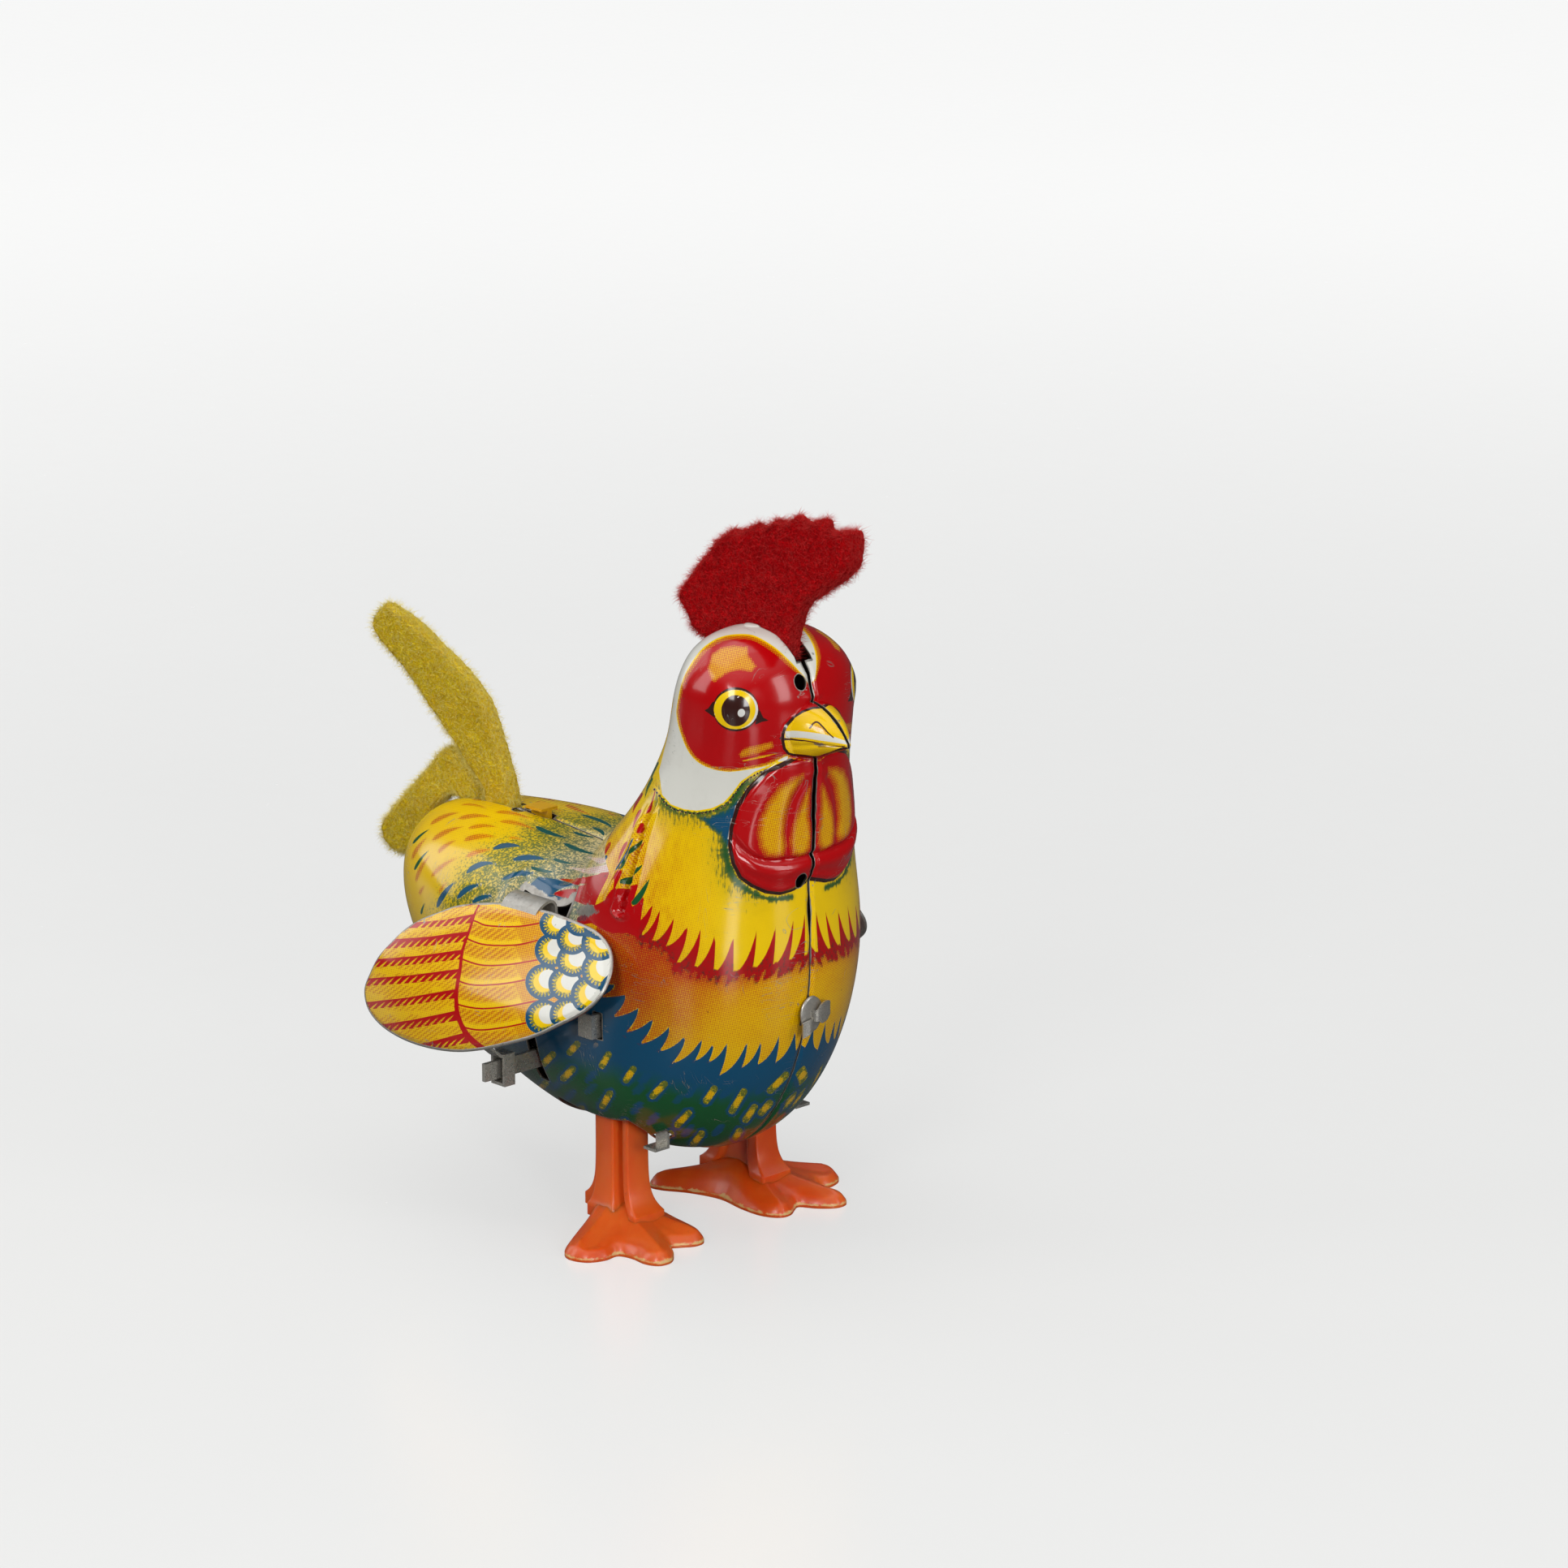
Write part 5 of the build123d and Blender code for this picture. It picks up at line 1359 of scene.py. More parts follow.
def build_shells():
    right_table, left_table, faces, (right_hole, left_hole, key_hole) = body_shell()
    beak_table, beak_faces = beak_shell()
    for side, table, hole in (("right", right_table, right_hole),
                              ("left", left_table, np.minimum(left_hole, key_hole))):
        cut, cut_faces = clip(table, faces, hole)
        all_faces = cut_faces + (beak_faces + len(cut)).tolist()
        table = np.vstack([cut, beak_table])
        points = table[:, :3].copy()
        if side == "left":
            points[:, 1] *= -1
            all_faces = [f[::-1] for f in all_faces]
        shell = mesh_object(side + "_shell", points, all_faces, (PRINT, INSIDE, CUT_EDGE),
                            table_attributes(table))
        thicken(shell, 0.30, offset=-1.0, inner=1, rim=2)
        register(shell, "frame", side + "_body_shell")


# ------------------------------------------------------------------ wings
# x and z of the outline
WING_OUTLINE = [
    (-45.1, 37.2), (-43.7, 40.5), (-41.8, 43.9), (-39.0, 47.1), (-36.4, 49.8), (-33.3, 52.0),
    (-29.3, 54.0), (-25.3, 55.8), (-16.8, 57.8), (-6.0, 58.6), (-0.7, 58.5), (3.4, 58.2),
    (7.1, 57.8), (10.5, 56.8), (13.2, 55.2), (14.9, 53.0), (15.4, 50.6), (14.9, 48.6), (13.5, 46.7),
    (11.2, 44.9), (8.3, 43.1), (5.0, 41.1), (1.3, 39.3), (-3.7, 37.3), (-9.5, 35.2), (-16.0, 33.4),
    (-24.0, 32.2), (-32.0, 31.8), (-39.0, 32.4), (-43.6, 34.2)]
# z and distance from the middle plane of the wing's upright profile
WING_PROFILE = np.array([
    (28.0, 37.0), (33.0, 37.6), (39.0, 37.2), (45.0, 35.6), (51.0, 32.4), (57.0, 27.7),
    (61.0, 23.8)])


def wing_y(x, z):
    """Distance of the wing sheet from the middle plane."""
    zs, ys = WING_PROFILE.T
    last = len(zs) - 1
    i = np.clip(np.searchsorted(zs, z, "left") - 1, 0, last - 1)
    span = zs[i + 1] - zs[i]
    t = (z - zs[i]) / span
    before = np.maximum(i - 1, 0)
    after = np.minimum(i + 2, last)
    slope_a = (ys[i + 1] - ys[before]) / (zs[i + 1] - zs[before])
    slope_b = (ys[after] - ys[i]) / (zs[after] - zs[i])
    y = ((2 * t ** 3 - 3 * t ** 2 + 1) * ys[i] + (t ** 3 - 2 * t ** 2 + t) * span * slope_a
         + (-2 * t ** 3 + 3 * t ** 2) * ys[i + 1] + (t ** 3 - t ** 2) * span * slope_b)
    return y - np.where(x < -14.0, 0.004, 0.0022) * (x + 14.0) ** 2


# all on the wing drawing: lines between the feather rows, from the top down
FEATHER_LINES = [
    [(560, 470), (640, 488), (760, 512), (880, 515), (960, 505)],
    [(560, 560), (640, 590), (700, 612), (850, 617), (975, 600), (1100, 575)],
    [(540, 650), (612, 692), (700, 716), (850, 716), (980, 688), (1100, 660)],
    [(500, 760), (585, 800), (680, 825), (820, 820), (985, 793), (1100, 770)],
    [(480, 870), (560, 915), (650, 932), (800, 922), (940, 895), (1100, 860)],
    [(470, 1000), (548, 1037), (660, 1057), (800, 1047), (940, 1020), (1100, 985)],
    [(480, 1110), (555, 1150), (650, 1172), (780, 1160), (905, 1135), (1100, 1095)],
    [(500, 1225), (600, 1262), (700, 1290), (800, 1275), (900, 1250), (1100, 1200)]]
# line that parts the rear feathers from the rows
SPINE = [
    (655, 480), (628, 560), (602, 640), (580, 700), (563, 760), (552, 850), (538, 930),
    (532, 1000), (538, 1080), (562, 1150), (600, 1210), (655, 1262), (700, 1310)]
# red bands of the rear feathers: x, top and bottom of the right end, then of the left end
BANDS = [
    ((610, 548, 596), (330, 600, 624)), ((590, 640, 694), (180, 690, 736)),
    ((565, 738, 790), (85, 798, 838)), ((540, 842, 893), (30, 902, 938)),
    ((520, 950, 1000), (30, 1032, 1068)), ((520, 1066, 1122), (60, 1160, 1196)),
    ((580, 1180, 1240), (160, 1290, 1326)), ((610, 470, 500), (420, 512, 530))]
# centre and radius of the scales, painted in this order
SCALES = [
    (1000, 1105, 97), (1000, 915, 97), (1045, 745, 92), (1065, 600, 86), (1125, 1090, 92),
    (1118, 925, 92), (1158, 800, 88), (1155, 685, 84), (1195, 590, 80), (1250, 985, 104),
    (1310, 850, 106), (1300, 705, 96), (1300, 600, 90), (1400, 960, 100)]


def print_wing(drawn):
    art = Print(drawn)
    x, y = (art.x - WING_LEFT) * WING_SCALE, (art.y - WING_TOP) * WING_SCALE
    print_feather_rows(art, x, y)
    print_rear_feathers(art, x, y)
    for scale in SCALES:
        print_scale(art, *scale)
    return art


def print_feather_rows(art, x, y):
    lines = np.array([np.interp(x, *curve(line, 6).T) for line in FEATHER_LINES])
    row = np.clip((y[None, :] > lines).sum(0) - 1, 0, len(lines) - 2)
    point = np.arange(len(x))
    down = np.clip((y - lines[row, point]) / (lines[row + 1, point] - lines[row, point]), 0, 1)
    hatch = np.mod((x * 0.8 + y * 1.15) / 34.0, 1.0)
    middle = smooth(0.06, 0.16, down) * smooth(0.86, 0.6, down)
    red = (0.14 + 0.16 * middle
           + 0.34 * middle * (np.abs(hatch - 0.5) < 0.26) * smooth(900, 800, x))
    red = np.where(down > 0.78, 0.05, red)
    front = 0.50 * smooth(858, 868, x + 50 * (0.5 - down)) * smooth(1.0, 0.93, down)
    art.tint["R"] = np.maximum(red, front)
    for line in FEATHER_LINES[1:]:
        art.line(WING(curve(line, 6)), 2.1, "YR")


def print_rear_feathers(art, x, y):
    """Red bands with yellow barbs and hatched dots, behind a tapering red spine."""
    ink, tint = art.ink, art.tint
    spine = curve(WING(SPINE), 5)
    rear = line_distance(art.points, spine)[2] > 0
    ink["R"][rear] = -9
    tint["R"][rear] = 0.12
    for (xr, top_r, low_r), (xl, top_l, low_l) in BANDS:
        middle = (xr + xl) / 2
        band = WING([
            (xr + 20, top_r), (xr + 20, low_r), (middle, (low_r + low_l) / 2 + 6),
            (xl - 60, low_l + 4), (xl - 60, top_l), (middle, (top_r + top_l) / 2 + 6)])
        near, depth = art.depth(band, 4)
        if not len(near):
            continue
        ink["R"][near] = np.maximum(ink["R"][near], np.where(rear[near], depth, -9))
        # short yellow barbs over the lower edge of the band
        count = int((xr - xl) / 40)
        for i in range(count):
            share = (i + 0.5) / count
            bx, by = xr + (xl - xr) * share, low_r + (low_l - low_r) * share
            art.leaf(*WING([(bx - 30, by + 12), (bx + 22, by - 36)]), 2.3, "Y")
    hatch = np.mod((x * 0.9 + y * 1.2) / 30.0, 1.0)
    dots = (np.abs(hatch - 0.5) < 0.24) * (noise2(x / 60, y / 22, 17) > 0.42)
    tint["R"] = np.where(rear & (ink["R"] < 0), 0.16 + 0.34 * dots, tint["R"])
    near = art.near(spine, 6)
    distance, along, _, length = line_distance(art.points[near], spine)
    width = np.interp(along / length, [0, 0.2, 0.5, 0.75, 1.0], [2.2, 3.2, 4.6, 6.0, 9.0])
    art.put(near, width / 2 - distance, "YR")


def print_scale(art, cx, cy, size):
    """A round blue scale with a toothed yellow inside and a white spot."""
    centre, = WING([(cx, cy)])
    size_drawn = size / WING_SCALE
    near = art.near([centre], size_drawn + 4)
    off = art.points[near] - centre
    radius = np.hypot(off[:, 0], off[:, 1])
    angle = np.arctan2(off[:, 1], off[:, 0])
    tooth = np.abs(np.mod(angle * 12.0 / pi + 0.3 * cx, 1.0) - 0.5) * 2
    art.put(near, size_drawn - radius, "B")
    art.clear(near[radius < size_drawn])
    art.put(near, (size_drawn - 4.3 - 6.4 * smooth(0.40, 1.0, tooth)) - radius, "Y")
    art.tint["B"][near[(radius < size_drawn - 4.0) & (radius > size_drawn - 10.0)]] = 0.52
    off = off - [0.26 * size_drawn, -0.16 * size_drawn]
    radius = np.hypot(off[:, 0], off[:, 1])
    white = size_drawn * 0.52
    art.put(near, white - radius, "")
    art.clear(near[radius < white], "Y")
    art.clear(near[radius < white + 0.6], "B")


def wing_skin():
    columns_x, columns_z = int(470 / COARSE), int(220 / COARSE)
    x, z = flat_grid((-46.5, 30.5), (16.8, 60.0), columns_x, columns_z)
    inset = -outline_distance(np.stack([x, z], 1), curve(WING_OUTLINE, 6, True))
    points = np.stack([x, -wing_y(x, z), z], 1)
    drawn = project(points)
    art = print_wing(drawn)
    points[:, 1] += 0.30 * smooth(1.4, 0.2, inset)      # dips at the rolled edge
    spot = np.hypot((drawn[:, 0] - 697) / 10, (drawn[:, 1] - 1130) / 5)
    wear = 0.55 * smooth(0.42, 0.1, inset) + 0.5 * np.exp(-spot ** 2)
    table = printed_table(points, art, wear, np.maximum(inset - 0.12, 0))
    return clip(table, quads(columns_x, columns_z)[:, ::-1], inset - 0.05)


def wing_bead():
    """Rolled edge: a bead swept round the outline."""
    radius, sides = 0.34, 10
    line = curve(WING_OUTLINE, 8, True)
    centres = np.stack([line[:, 0], -wing_y(line[:, 0], line[:, 1]) + 0.52, line[:, 1]], 1)
    inward_point = np.array([-23.0, -30.0, 45.0])
    count = len(centres)
    points = []
    for i, centre in enumerate(centres):
        tangent = centres[(i + 1) % count] - centres[i - 1]
        tangent /= np.linalg.norm(tangent)
        inward = np.cross(tangent, [0, 1, 0])
        inward /= np.linalg.norm(inward)
        if inward @ (inward_point - centre) < 0:
            inward = -inward
        across = np.cross(tangent, inward)
        for j in range(sides):
            angle = 2 * pi * j / sides
            points.append(centre + inward * radius
                          + radius * (inward * cos(angle) + across * sin(angle)))
    faces = []
    for i in range(count):
        here, there = i * sides, (i + 1) % count * sides
        for j in range(sides):
            k = (j + 1) % sides
            faces.append([here + j, here + k, there + k, there + j])
    return np.array(points), faces


def wing_tongue():
    """Tongue hooked through the shoulder slot; the path is its distance out and height."""
    path = curve([(26.7, 57.4), (26.1, 58.3), (25.1, 59.0), (23.9, 59.45), (22.9, 59.4),
                  (22.2, 58.7), (21.95, 57.3), (21.5, 55.7), (20.6, 54.7), (19.4, 54.6)], 5)
    xs = np.linspace(-15.5, -6.5, 12)
    points = np.array([[x, -out, z] for out, z in path for x in xs])
    return points, quads(len(path), len(xs)).tolist()


def build_wings():
    table, skin_faces = wing_skin()
    pieces = [(table[:, :3], skin_faces), wing_bead(), wing_tongue()]
    for side in ("right", "left"):
        if side == "left":
            pieces = [(points * [1, -1, 1], [f[::-1] for f in faces]) for points, faces in pieces]
        skin, bead, tongue = pieces
        body = side + "_wing_body"
        obj = mesh_object(side + "_wing_skin", *skin, (PRINT, WHITE_COAT, CUT_EDGE),
                          table_attributes(table))
        thicken(obj, 0.34, offset=-1.0, inner=1, rim=2)
        register(obj, body, side + "_wing")
        obj = mesh_object(side + "_wing_rolled_edge", *bead, (TIN,))
        register(obj, body)
        obj = mesh_object(side + "_wing_tongue", *tongue, (TIN, TIN, CUT_EDGE))
        thicken(obj, 0.5)
        register(obj, body)


# ------------------------------------------------------------------ felt
# x and z of the outlines
COMB = [
    (5.6, 105.7), (3.7, 108.4), (1.7, 110.6), (3.7, 114.0), (7.7, 118.2), (11.0, 121.6),
    (14.4, 124.1), (17.6, 124.6), (20.9, 126.2), (23.0, 126.0), (25.4, 127.6), (28.2, 127.7),
    (30.6, 129.1), (33.0, 128.3), (35.2, 129.0), (37.5, 129.6), (38.7, 127.8), (43.8, 128.6),
    (44.9, 127.5), (44.8, 124.3), (43.3, 121.3), (38.5, 117.9), (33.5, 114.7), (31.9, 112.4),
    (31.2, 110.7), (30.2, 107.8), (29.0, 104.6), (24.0, 103.6), (16.0, 103.2), (11.4, 103.6),
    (8.6, 104.4)]
TAIL_UPPER = [
    (-51.0, 60.5), (-49.4, 66.0), (-54.3, 70.6), (-62.1, 77.7), (-70.5, 85.1), (-79.3, 91.6),
    (-76.0, 96.5), (-73.1, 96.6), (-67.4, 94.9), (-61.7, 92.0), (-54.8, 88.5), (-49.3, 84.2),
    (-46.6, 79.9), (-44.4, 74.1), (-41.7, 66.7), (-42.4, 60.5)]
TAIL_LOWER = [
    (-56.8, 60.0), (-57.6, 64.0), (-61.3, 62.6), (-64.6, 59.4), (-67.0, 55.4), (-70.2, 51.6),
    (-74.0, 49.8), (-77.9, 50.6), (-79.3, 53.2), (-78.9, 55.4), (-72.9, 61.4), (-66.8, 67.0),
    (-60.6, 72.4), (-55.4, 70.4), (-51.6, 66.4), (-51.4, 60.4)]
FELT_THICKNESS = 3.0
FIBRE_LENGTH = 2.2
# corners of one dart: a triangle at the root, one halfway, and the tip
FIBRE_FACES = [(0, 2, 1), (0, 1, 4, 3), (1, 2, 5, 4), (2, 0, 3, 5), (3, 4, 6), (4, 5, 6), (5, 3, 6)]


def felt_piece(name, outline, materials, node, fibres, seed, sway):
    """A lumpy felt cut-out and its loose fibres; sway gives the middle's y from z."""
    rng = np.random.default_rng(seed)
    outline = curve(outline, 5, True)
    low, high = outline.min(0) - 1, outline.max(0) + 1
    step = 0.42 * COARSE_STEP
    columns = [int(span / step) for span in high - low]
    x, z = flat_grid(low, high, *columns)
    inset = -outline_distance(np.stack([x, z], 1), outline)
    # a cut edge of wool is a little ragged
    inset = inset + 0.28 * (noise2(x / 0.9, z / 0.9, seed) - 0.5)
    inset = inset + 0.22 * (noise2(x / 0.45, z / 0.45, seed + 1) - 0.5)
    table, cut_faces = clip(np.stack([x, z, inset], 1), quads(*columns), inset)
    x, z, inset = table[:, 0], table[:, 1], np.maximum(table[:, 2], 0)
    rounding = 1 - np.clip(inset / (FELT_THICKNESS * 0.45), 0, 1)
    half = FELT_THICKNESS / 2 * np.sqrt(np.clip(1 - rounding ** 2, 0, 1))
    fade = smooth(0, 1, inset)
    middle = sway(z)
    lump = (0.34 * (noise2(x / 2.2, z / 2.2, seed + 2) - 0.5)
            + 0.30 * (noise2(x / 1.0, z / 0.7, seed + 3) - 0.5))
    right = np.stack([x, middle - half - lump * fade, z], 1)
    lump = (0.22 * (noise2(x / 2.6, z / 2.6, seed + 6) - 0.5)
            + 0.14 * (noise2(x / 0.8, z / 0.8, seed + 7) - 0.5))
    left = np.stack([x, middle + half + lump * fade, z], 1)
    # the two sides share the points of the rim
    count = len(x)
    apart = inset >= 1e-6
    left_number = np.arange(count)
    left_number[apart] = count + np.cumsum(apart)[apart] - 1
    points = np.vstack([right, left[apart]])
    faces = []
    for cut_face in cut_faces:
        face = cut_face[::-1]
        faces.append(face)
        other = [int(left_number[v]) for v in cut_face]
        if len(set(other)) > 2 and set(other) != set(face):
            faces.append(other)
    register(mesh_object(name, points, faces, materials[:1]), "frame", node)
    dart_points, dart_faces = felt_fibres(
        rng, int(fibres * (1.0)), points, count,
        np.nonzero(inset < 0.9)[0], outline)
    darts = mesh_object(name + "_fibres", dart_points, dart_faces, materials[1:])
    register(darts, "frame")


def felt_fibres(rng, count, points, right_count, rim, outline):
    """Loose wool fibres: slim tapered darts rooted in the felt, half of them near the rim."""
    def unit(vectors):
        return vectors / np.maximum(np.linalg.norm(vectors, axis=1, keepdims=True), 1e-6)

    pick = rng.integers(0, len(points), count)
    pick[:count // 2] = rng.choice(rim, count // 2)
    base = points[pick]
    # outward direction, turning from the face to the outline near the rim
    nudge = 0.25
    flat = np.stack([base[:, 0], base[:, 2]], 1)
    distance = outline_distance(flat, outline)
    slope_x = (outline_distance(flat + [nudge, 0], outline) - distance) / nudge
    slope_z = (outline_distance(flat + [0, nudge], outline) - distance) / nudge
    near = smooth(-1.6, -0.2, distance)
    side_sign = np.where(pick < right_count, -1.0, 1.0)
    normal = unit(np.stack([slope_x * near, side_sign * (1.05 - near), slope_z * near], 1))
    random = rng.normal(size=(count, 3))
    tangent = random - normal * (random * normal).sum(1, keepdims=True)
    tangent /= np.linalg.norm(tangent, axis=1, keepdims=True)
    lift = rng.uniform(0.12, 0.75, count)[:, None]
    direction = tangent * np.sqrt(1 - lift ** 2) + normal * lift
    length = rng.uniform(0.35, 1.0, count)[:, None] * FIBRE_LENGTH
    side = unit(np.cross(direction, normal))
    up = np.cross(side, direction)
    radius = rng.uniform(0.018, 0.032, count)[:, None]
    root = base - normal * 0.15
    curl = rng.normal(size=(count, 1)) * 0.35
    corners = []
    for along, taper in ((0.0, 1.0), (0.5, 0.8)):
        centre = root + direction * length * along + side * curl * length * along * along
        across, rise = side * radius * taper, up * radius * taper * 0.87
        corners += [centre + across, centre - across * 0.5 + rise, centre - across * 0.5 - rise]
    corners.append(root + direction * length + side * curl * length)
    faces = [[i * 7 + v for v in face] for i in range(count) for face in FIBRE_FACES]
    return np.stack(corners, 1).reshape(-1, 3), faces


def build_felt():
    yellow = (YELLOW_FELT, YELLOW_FIBRE)
    felt_piece("comb_wool", COMB, (RED_FELT, RED_FIBRE), "comb_felt",
               fibres=14000, seed=11, sway=lambda z: 0.0 * z)
    felt_piece("tail_wool_upper", TAIL_UPPER, yellow, "tail_felt",
               fibres=11000, seed=23, sway=lambda z: -0.8 * smooth(70, 96, z))
    felt_piece("tail_wool_lower", TAIL_LOWER, yellow, None,
               fibres=8000, seed=37, sway=lambda z: 0.0 * z + 0.5)


# ------------------------------------------------------------------ legs
# x and y of the left foot's outline, of the toe tips and of the column's H section
FOOT = [
    (-12.6, 6.0), (-11.4, 3.6), (-8.6, 4.0), (-4.0, 6.6), (2.0, 8.2), (8.0, 7.4), (13.0, 7.4),
    (16.2, 9.0), (16.6, 11.4), (15.2, 13.8), (14.6, 15.4), (17.4, 17.2), (19.6, 19.8),
    (19.4, 22.4), (17.0, 23.6), (13.6, 23.4), (10.9, 24.3), (11.0, 27.2), (9.6, 30.2),
    (6.4, 31.4), (3.6, 30.0), (0.8, 25.8), (-2.4, 19.6), (-6.4, 13.4), (-11.0, 9.4)]
TOE_TIPS = [(15.0, 10.0), (18.2, 21.0), (6.8, 29.8), (-11.6, 5.2)]
COLUMN = [
    (-4.4, 12.8), (-2.0, 12.8), (-1.6, 13.8), (3.4, 13.8), (3.9, 12.8), (6.4, 12.8), (6.4, 17.8),
    (5.0, 17.8), (4.7, 15.6), (3.3, 15.6), (3.0, 18.2), (-1.4, 18.2), (-1.7, 15.6), (-4.4, 15.6)]
LEG_X, LEG_Y = 1.0, 15.5                # middle of the column and root of the toes
CORNER_RADIUS = 0.35


def foot_mesh():
    """Points, faces and inset of the foot: flat webs between straight toe ridges."""
    step = 0.34 * COARSE_STEP
    outline = curve(FOOT, 5, True)
    low, high = outline.min(0) - 0.8, outline.max(0) + 0.8
    columns = [int(span / step) for span in high - low]
    x, y = flat_grid(low, high, *columns)
    inset = -outline_distance(np.stack([x, y], 1), outline)
    table, faces = clip(np.stack([x, y, inset], 1), quads(*columns), inset)
    x, y, inset = table[:, 0], table[:, 1], np.maximum(table[:, 2], 0)
    ridge = np.zeros(len(x))
    for tip in TOE_TIPS:
        distance, along, _, length = line_distance(table[:, :2], [(LEG_X, LEG_Y), tip])
        share = along / length
        height = 1.0 - 0.80 * share
        ridge = np.maximum(ridge, height - distance / (6.0 - 2.2 * share) * 0.42)
    hub = np.hypot((x - LEG_X) / 6.4, (y - LEG_Y) / 5.4)
    top = (1.1 + 0.9 * smooth(0, 1.2, inset) + 3.5 * ridge * smooth(0.0, 2.6, inset)
           + 1.3 * np.exp(-(hub / 0.95) ** 2))
    edge = 1 - np.clip(inset / 0.8, 0, 1)
    top = np.minimum(top, 8.6) - 0.55 * (1 - np.sqrt(np.clip(1 - edge ** 2, 0, 1)))
    # underside: hollow, with a flat rim that stands on the floor
    under = np.where(inset > 1.0, np.maximum(top - 1.3, 0.0) * smooth(0.9, 2.0, inset), 0.0)
    count = len(x)
    points = np.vstack([np.stack([x, y, top], 1), np.stack([x, y, under], 1)])
    all_faces = [f[::-1] for f in faces] + [[v + count for v in f] for f in faces]
    edges = dict.fromkeys((a, b) for f in faces for a, b in zip(f, f[1:] + f[:1]))
    for a, b in edges:
        if (b, a) not in edges:
            all_faces.append([a, b, b + count, a + count])
    return points, all_faces, inset


def column_mesh(first):
    """Points and faces of the column, numbered from first; it flares where it meets the foot."""
    section = []
    corners = np.array(COLUMN)
    for before, corner, after in zip(np.roll(corners, 1, 0), corners, np.roll(corners, -1, 0)):
        ends = []
        for other in (before, after):
            length = np.linalg.norm(other - corner)
            ends.append(corner + (other - corner) / length * min(CORNER_RADIUS, 0.45 * length))
        section.append(bow(ends[0], corner, ends[1], (0, 0.33, 0.67, 1.0)))
    x, y = np.vstack(section).T
    points = []
    heights = np.concatenate([np.linspace(3.0, 10.0, 15), np.linspace(11.0, 28.6, 22),
                              [29.2, 29.6, 29.8]])
    for z in heights:
        flare = exp(-max(z - 5.0, 0) / 1.9)
        taper = 1.0 - 0.05 * (z - 29.0) / 0.8 if z > 29.0 else 1.0
        points.append(np.stack([LEG_X + (x - LEG_X) * (1.0 + 0.55 * flare) * taper,
                                LEG_Y + (y - LEG_Y) * (1.0 + 0.40 * flare) * taper,
                                np.full(len(x), z)], 1))
    rows, sides = len(heights), len(x)
    faces = []
    for i in range(rows - 1):
        here = first + i * sides
        there = here + sides
        for j in range(sides):
            k = (j + 1) % sides
            faces.append([here + j, here + k, there + k, there + j])
    faces.append([first + (rows - 1) * sides + j for j in range(sides)])
    faces.append([first + j for j in range(sides)][::-1])
    return np.vstack(points), faces


def build_leg(side):
    foot, foot_faces, inset = foot_mesh()
    column, column_faces = column_mesh(len(foot))
    points, faces = np.vstack([foot, column]), foot_faces + column_faces
    # distance from the worn edge; the underside and the column have fixed values
    place = np.concatenate([inset, inset * 0 + 0.6, np.full(len(column), 5.0)])
    if side == "right":
        points = points * [1, -1, 1]
        faces = [f[::-1] for f in faces]
    leg = mesh_object(side + "_leg_moulding", points, faces, (ORANGE,),
                      {"place": np.stack([place] * 3, 1)})
    leg.data.set_sharp_from_angle(angle=radians(50))
    register(leg, side + "_leg_body", side + "_leg")


# ------------------------------------------------------------------ clip on the breast
def build_washer():
    """Oval washer of bare tin."""
    # size of each ring and its x; from the outer face round the rim to the inner face
    rings = [(0.0, 33.62), (0.5, 33.62), (0.86, 33.60), (0.97, 33.52), (1.0, 33.36),
             (0.97, 33.22), (0.0, 33.22)]
    count = 40
    angles = [2 * pi * i / count for i in range(count)]
    oval = [(2.55 * cos(a) * (1 + 0.04 * sin(3 * a)), 3.25 * sin(a)) for a in angles]
    bm = bmesh.new()
    rows = [[bm.verts.new(((x + SHIFT) / 1000, size * y / 1000, (43.3 + size * z) / 1000))
             for y, z in oval] for size, x in rings]
    for row, following in zip(rows, rows[1:]):
        for j in range(count):
            k = (j + 1) % count
            bm.faces.new((row[j], row[k], following[k], following[j]))
    bmesh.ops.remove_doubles(bm, verts=bm.verts, dist=1e-6)
    bmesh.ops.recalc_face_normals(bm, faces=bm.faces)
    washer = link_mesh("breast_washer", bmesh_to_mesh("breast_washer", bm), (TIN,))
    register(washer, "frame", "breast_clip")


def build_tongue(name, path, across, height):
    """A folded strip: path in x and y, across its width, height(y, width) its z."""
    path = curve(path, 6)
    points = np.array([[x, y, height(y, width)] for x, y in path for width in across])
    tongue = mesh_object(name, points, quads(len(path), len(across)).tolist(), (STEEL,))
    thicken(tongue, 0.34)
    register(tongue, "frame")


def build_clip():
    build_washer()
    # out of the slot and folded over to the left
    build_tongue(
        "breast_tongue", [(31.0, 0.0), (33.5, 0.0), (34.35, 0.25), (34.50, 0.9), (34.45, 1.8),
                          (34.25, 2.9), (34.0, 3.7)], np.linspace(-1.0, 1.0, 10),
        lambda y, width: 43.1 + 0.22 * y
        + width * (1.0 + 0.75 * smooth(0.3, 1.6, y) - 0.55 * smooth(2.6, 3.7, y)))
    # the short end folded the other way
    build_tongue(
        "breast_tongue_end", [(31.0, -0.2), (33.5, -0.2), (34.1, -0.45), (34.2, -1.1),
                              (34.05, -1.9), (33.95, -2.6)], np.linspace(-1.5, 0.6, 8),
        lambda y, width: 42.3 + 0.3 * y + width * (1.0 + 0.25 * smooth(-0.3, -1.6, y)))


build_shells()
build_wings()
build_felt()
build_leg("right")
build_leg("left")
build_clip()


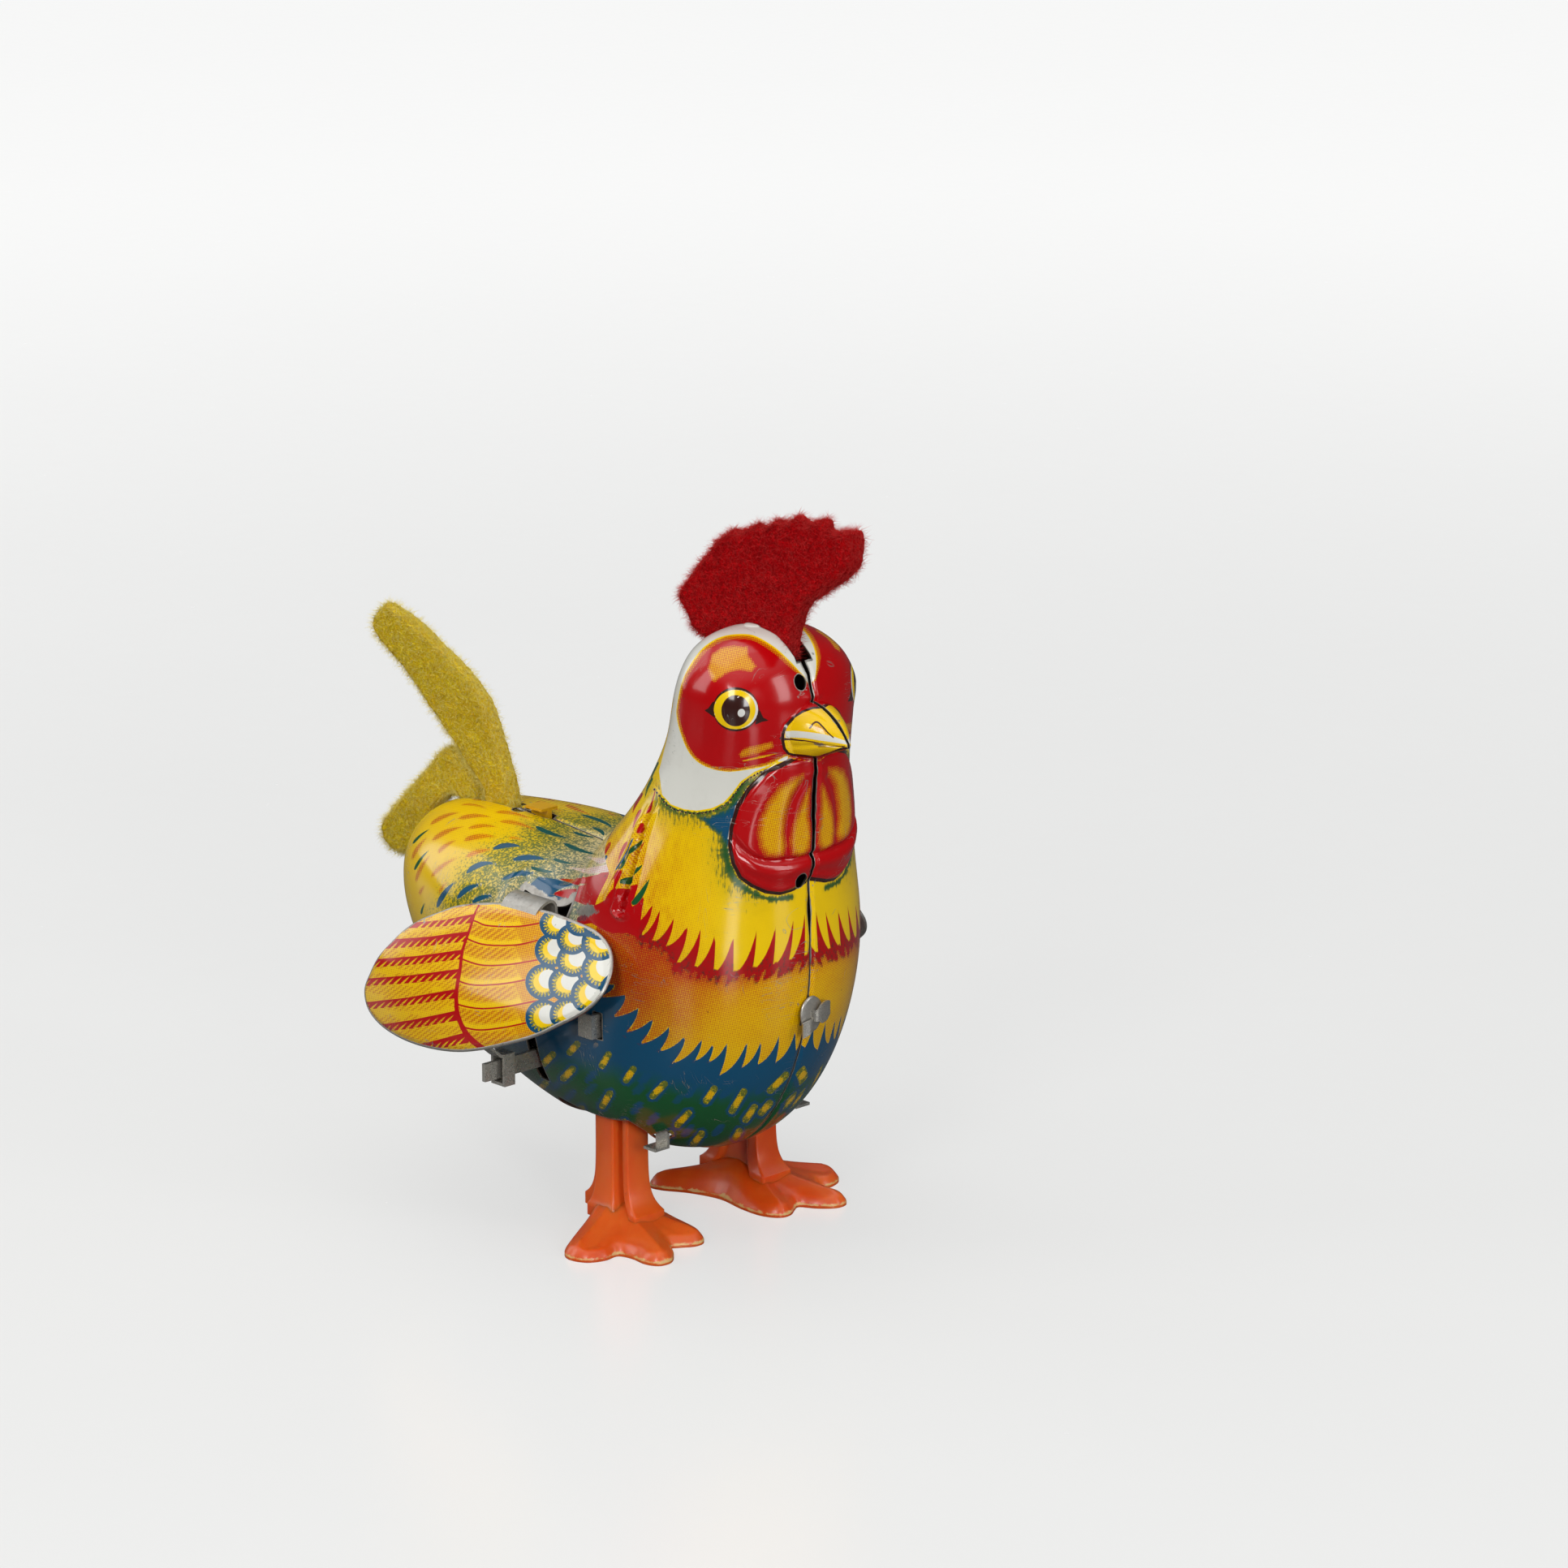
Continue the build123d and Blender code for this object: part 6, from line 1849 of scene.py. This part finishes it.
# ------------------------------------------------------------------ carried CAD pieces
def dress_cad():
    tab = bare_metal("tab_yellow_paint", (226, 176, 20), (196, 140, 10), rough=0.30, scale=500.0,
                     rust=0.35, metal=0.1)
    by_slot = {"bare_tin": TIN, "spring_steel": SPRING, "brass_gear": BRASS, "litho_tin": tab}
    parts = frame["record"].get("subcomponents", [])
    slot_of = {part["node"]: part.get("material_slot") for part in parts
               if isinstance(part, dict) and "node" in part}
    for name, obj in frame["nodes"].items():
        material = by_slot.get(slot_of.get(name), STEEL)
        if name == "back_tab":
            material = tab
        wheel = name.endswith("_wheel") and name not in ("ratchet_wheel", "star_wheel")
        if "pinion" in name or wheel:
            material = BRASS
        if name in ("mainspring", "click_spring"):
            material = SPRING
        obj.data.materials.clear()
        obj.data.materials.append(material)


# ------------------------------------------------------------------ stage
def floor_paper():
    """Grey paper, darker to reflections than to the camera, to which it also glows."""
    tree = Tree("floor_paper")
    broad = tree.noise(scale=6.0, detail=4.0, rough=0.6)
    fine = tree.noise(scale=160.0, detail=4.0, rough=0.6)
    seen = tree.mix(broad, srgb(140, 140, 138), srgb(134, 134, 132))
    to_camera = tree.node("ShaderNodeLightPath").outputs["Is Camera Ray"]
    color = tree.mix(to_camera, tree.mix(broad, srgb(96, 96, 96), srgb(90, 90, 90)), seen)
    away = tree.node("ShaderNodeVectorMath", operation="LENGTH")
    tree.plug(away.inputs[0], tree.coord)
    glow = tree.step(away.outputs["Value"], 0.10, 1.3, low=0.58, high=0.82)
    return tree.surface(
        Base_Color=color, Roughness=tree.scaled(fine, 0.10, 0.20), Specular_IOR_Level=0.4,
        Normal=tree.bump(fine, strength=0.04, distance=0.0004),
        Emission_Color=(1.0, 1.0, 0.995, 1.0), Emission_Strength=tree.times(to_camera, glow))


def build_floor():
    half, cells = 9.0, 6                # metres from the middle, squares along a side
    ticks = [-half + 2 * half * i / cells for i in range(cells + 1)]
    paper = floor_paper()
    bm = bmesh.new()
    rows = [[bm.verts.new((x, y, 0.0)) for y in ticks] for x in ticks]
    for a, b in zip(rows, rows[1:]):
        for j in range(cells):
            bm.faces.new((a[j], b[j], b[j + 1], a[j + 1]))
    mesh = bmesh_to_mesh("studio_floor", bm)
    link_mesh("studio_floor", mesh, (paper,), smooth_shading=False)


def build_world():
    """Light falls from a wide dome overhead; the sides of the room are dim."""
    world = bpy.data.worlds.new("studio")
    bpy.context.scene.world = world
    world.use_nodes = True
    nodes, links = world.node_tree.nodes, world.node_tree.links
    background = nodes["Background"]
    coord = nodes.new("ShaderNodeTexCoord")
    split = nodes.new("ShaderNodeSeparateXYZ")
    dome = nodes.new("ShaderNodeMapRange")
    dome.interpolation_type = "SMOOTHSTEP"
    links.new(coord.outputs["Generated"], split.inputs[0])
    links.new(split.outputs[2], dome.inputs[0])
    # brightness rises with the height of the direction: from, to, dim, bright
    for socket, value in zip(dome.inputs[1:5], (0.50, 0.95, 0.07, 1.05)):
        socket.default_value = value
    # the camera sees a paler backdrop
    light_path = nodes.new("ShaderNodeLightPath")
    pale = nodes.new("ShaderNodeMath")
    pale.operation = "MULTIPLY_ADD"
    pale.inputs[1].default_value = 0.90
    links.new(light_path.outputs["Is Camera Ray"], pale.inputs[0])
    links.new(dome.outputs[0], pale.inputs[2])
    links.new(pale.outputs[0], background.inputs[1])
    background.inputs[0].default_value = (0.96, 0.98, 1.0, 1.0)


def add_aimed(name, data, location, aim):
    obj = bpy.data.objects.new(name, data)
    obj.location = location
    turn = (Vector(aim) - Vector(location)).to_track_quat("-Z", "Y")
    obj.rotation_euler = turn.to_euler()
    bpy.context.scene.collection.objects.link(obj)
    return obj


# metres to the camera's right, towards the camera and up; width and height; watts
LIGHTS = [
    ("key_left", -0.80, 0.10, 0.50, (0.34, 0.62), 2.1),
    ("rim_left", -0.80, -0.55, 0.50, (0.50, 0.85), 1.9),
    ("soft_top", -0.15, -0.25, 0.95, (0.9, 0.6), 1.3),
    ("fill_right", 0.90, 0.45, 0.40, (0.22, 0.60), 2.2),
    ("front_left", -0.38, 1.15, 0.75, (0.36, 0.50), 7.0),
    ("front_right", 0.50, 1.20, 0.35, (0.24, 0.44), 5.5)]


def build_lights():
    toward_camera = BACK[:2] / hypot(BACK[0], BACK[1])
    for name, right, toward, height, size, power in LIGHTS:
        x, y = toward_camera * toward + RIGHT[:2] * right
        light = bpy.data.lights.new(name, "AREA")
        light.shape = "RECTANGLE"
        light.size, light.size_y = size
        light.energy = power
        add_aimed(name, light, (float(x), float(y), height), (0.0, 0.0, 0.07))


def build_camera():
    camera = bpy.data.cameras.new("camera")
    camera.sensor_width = 36.0
    camera.lens = DISTANCE / FIELD * 36.0
    camera.clip_start = 0.05
    camera.clip_end = 20.0
    place, aim = ((point + [SHIFT, 0, 0]) / 1000.0 for point in (EYE, AIM))
    bpy.context.scene.camera = add_aimed("camera", camera, place, aim)


dress_cad()
build_floor()
build_world()
build_lights()
build_camera()
bpy.context.scene.view_settings.view_transform = "Standard"
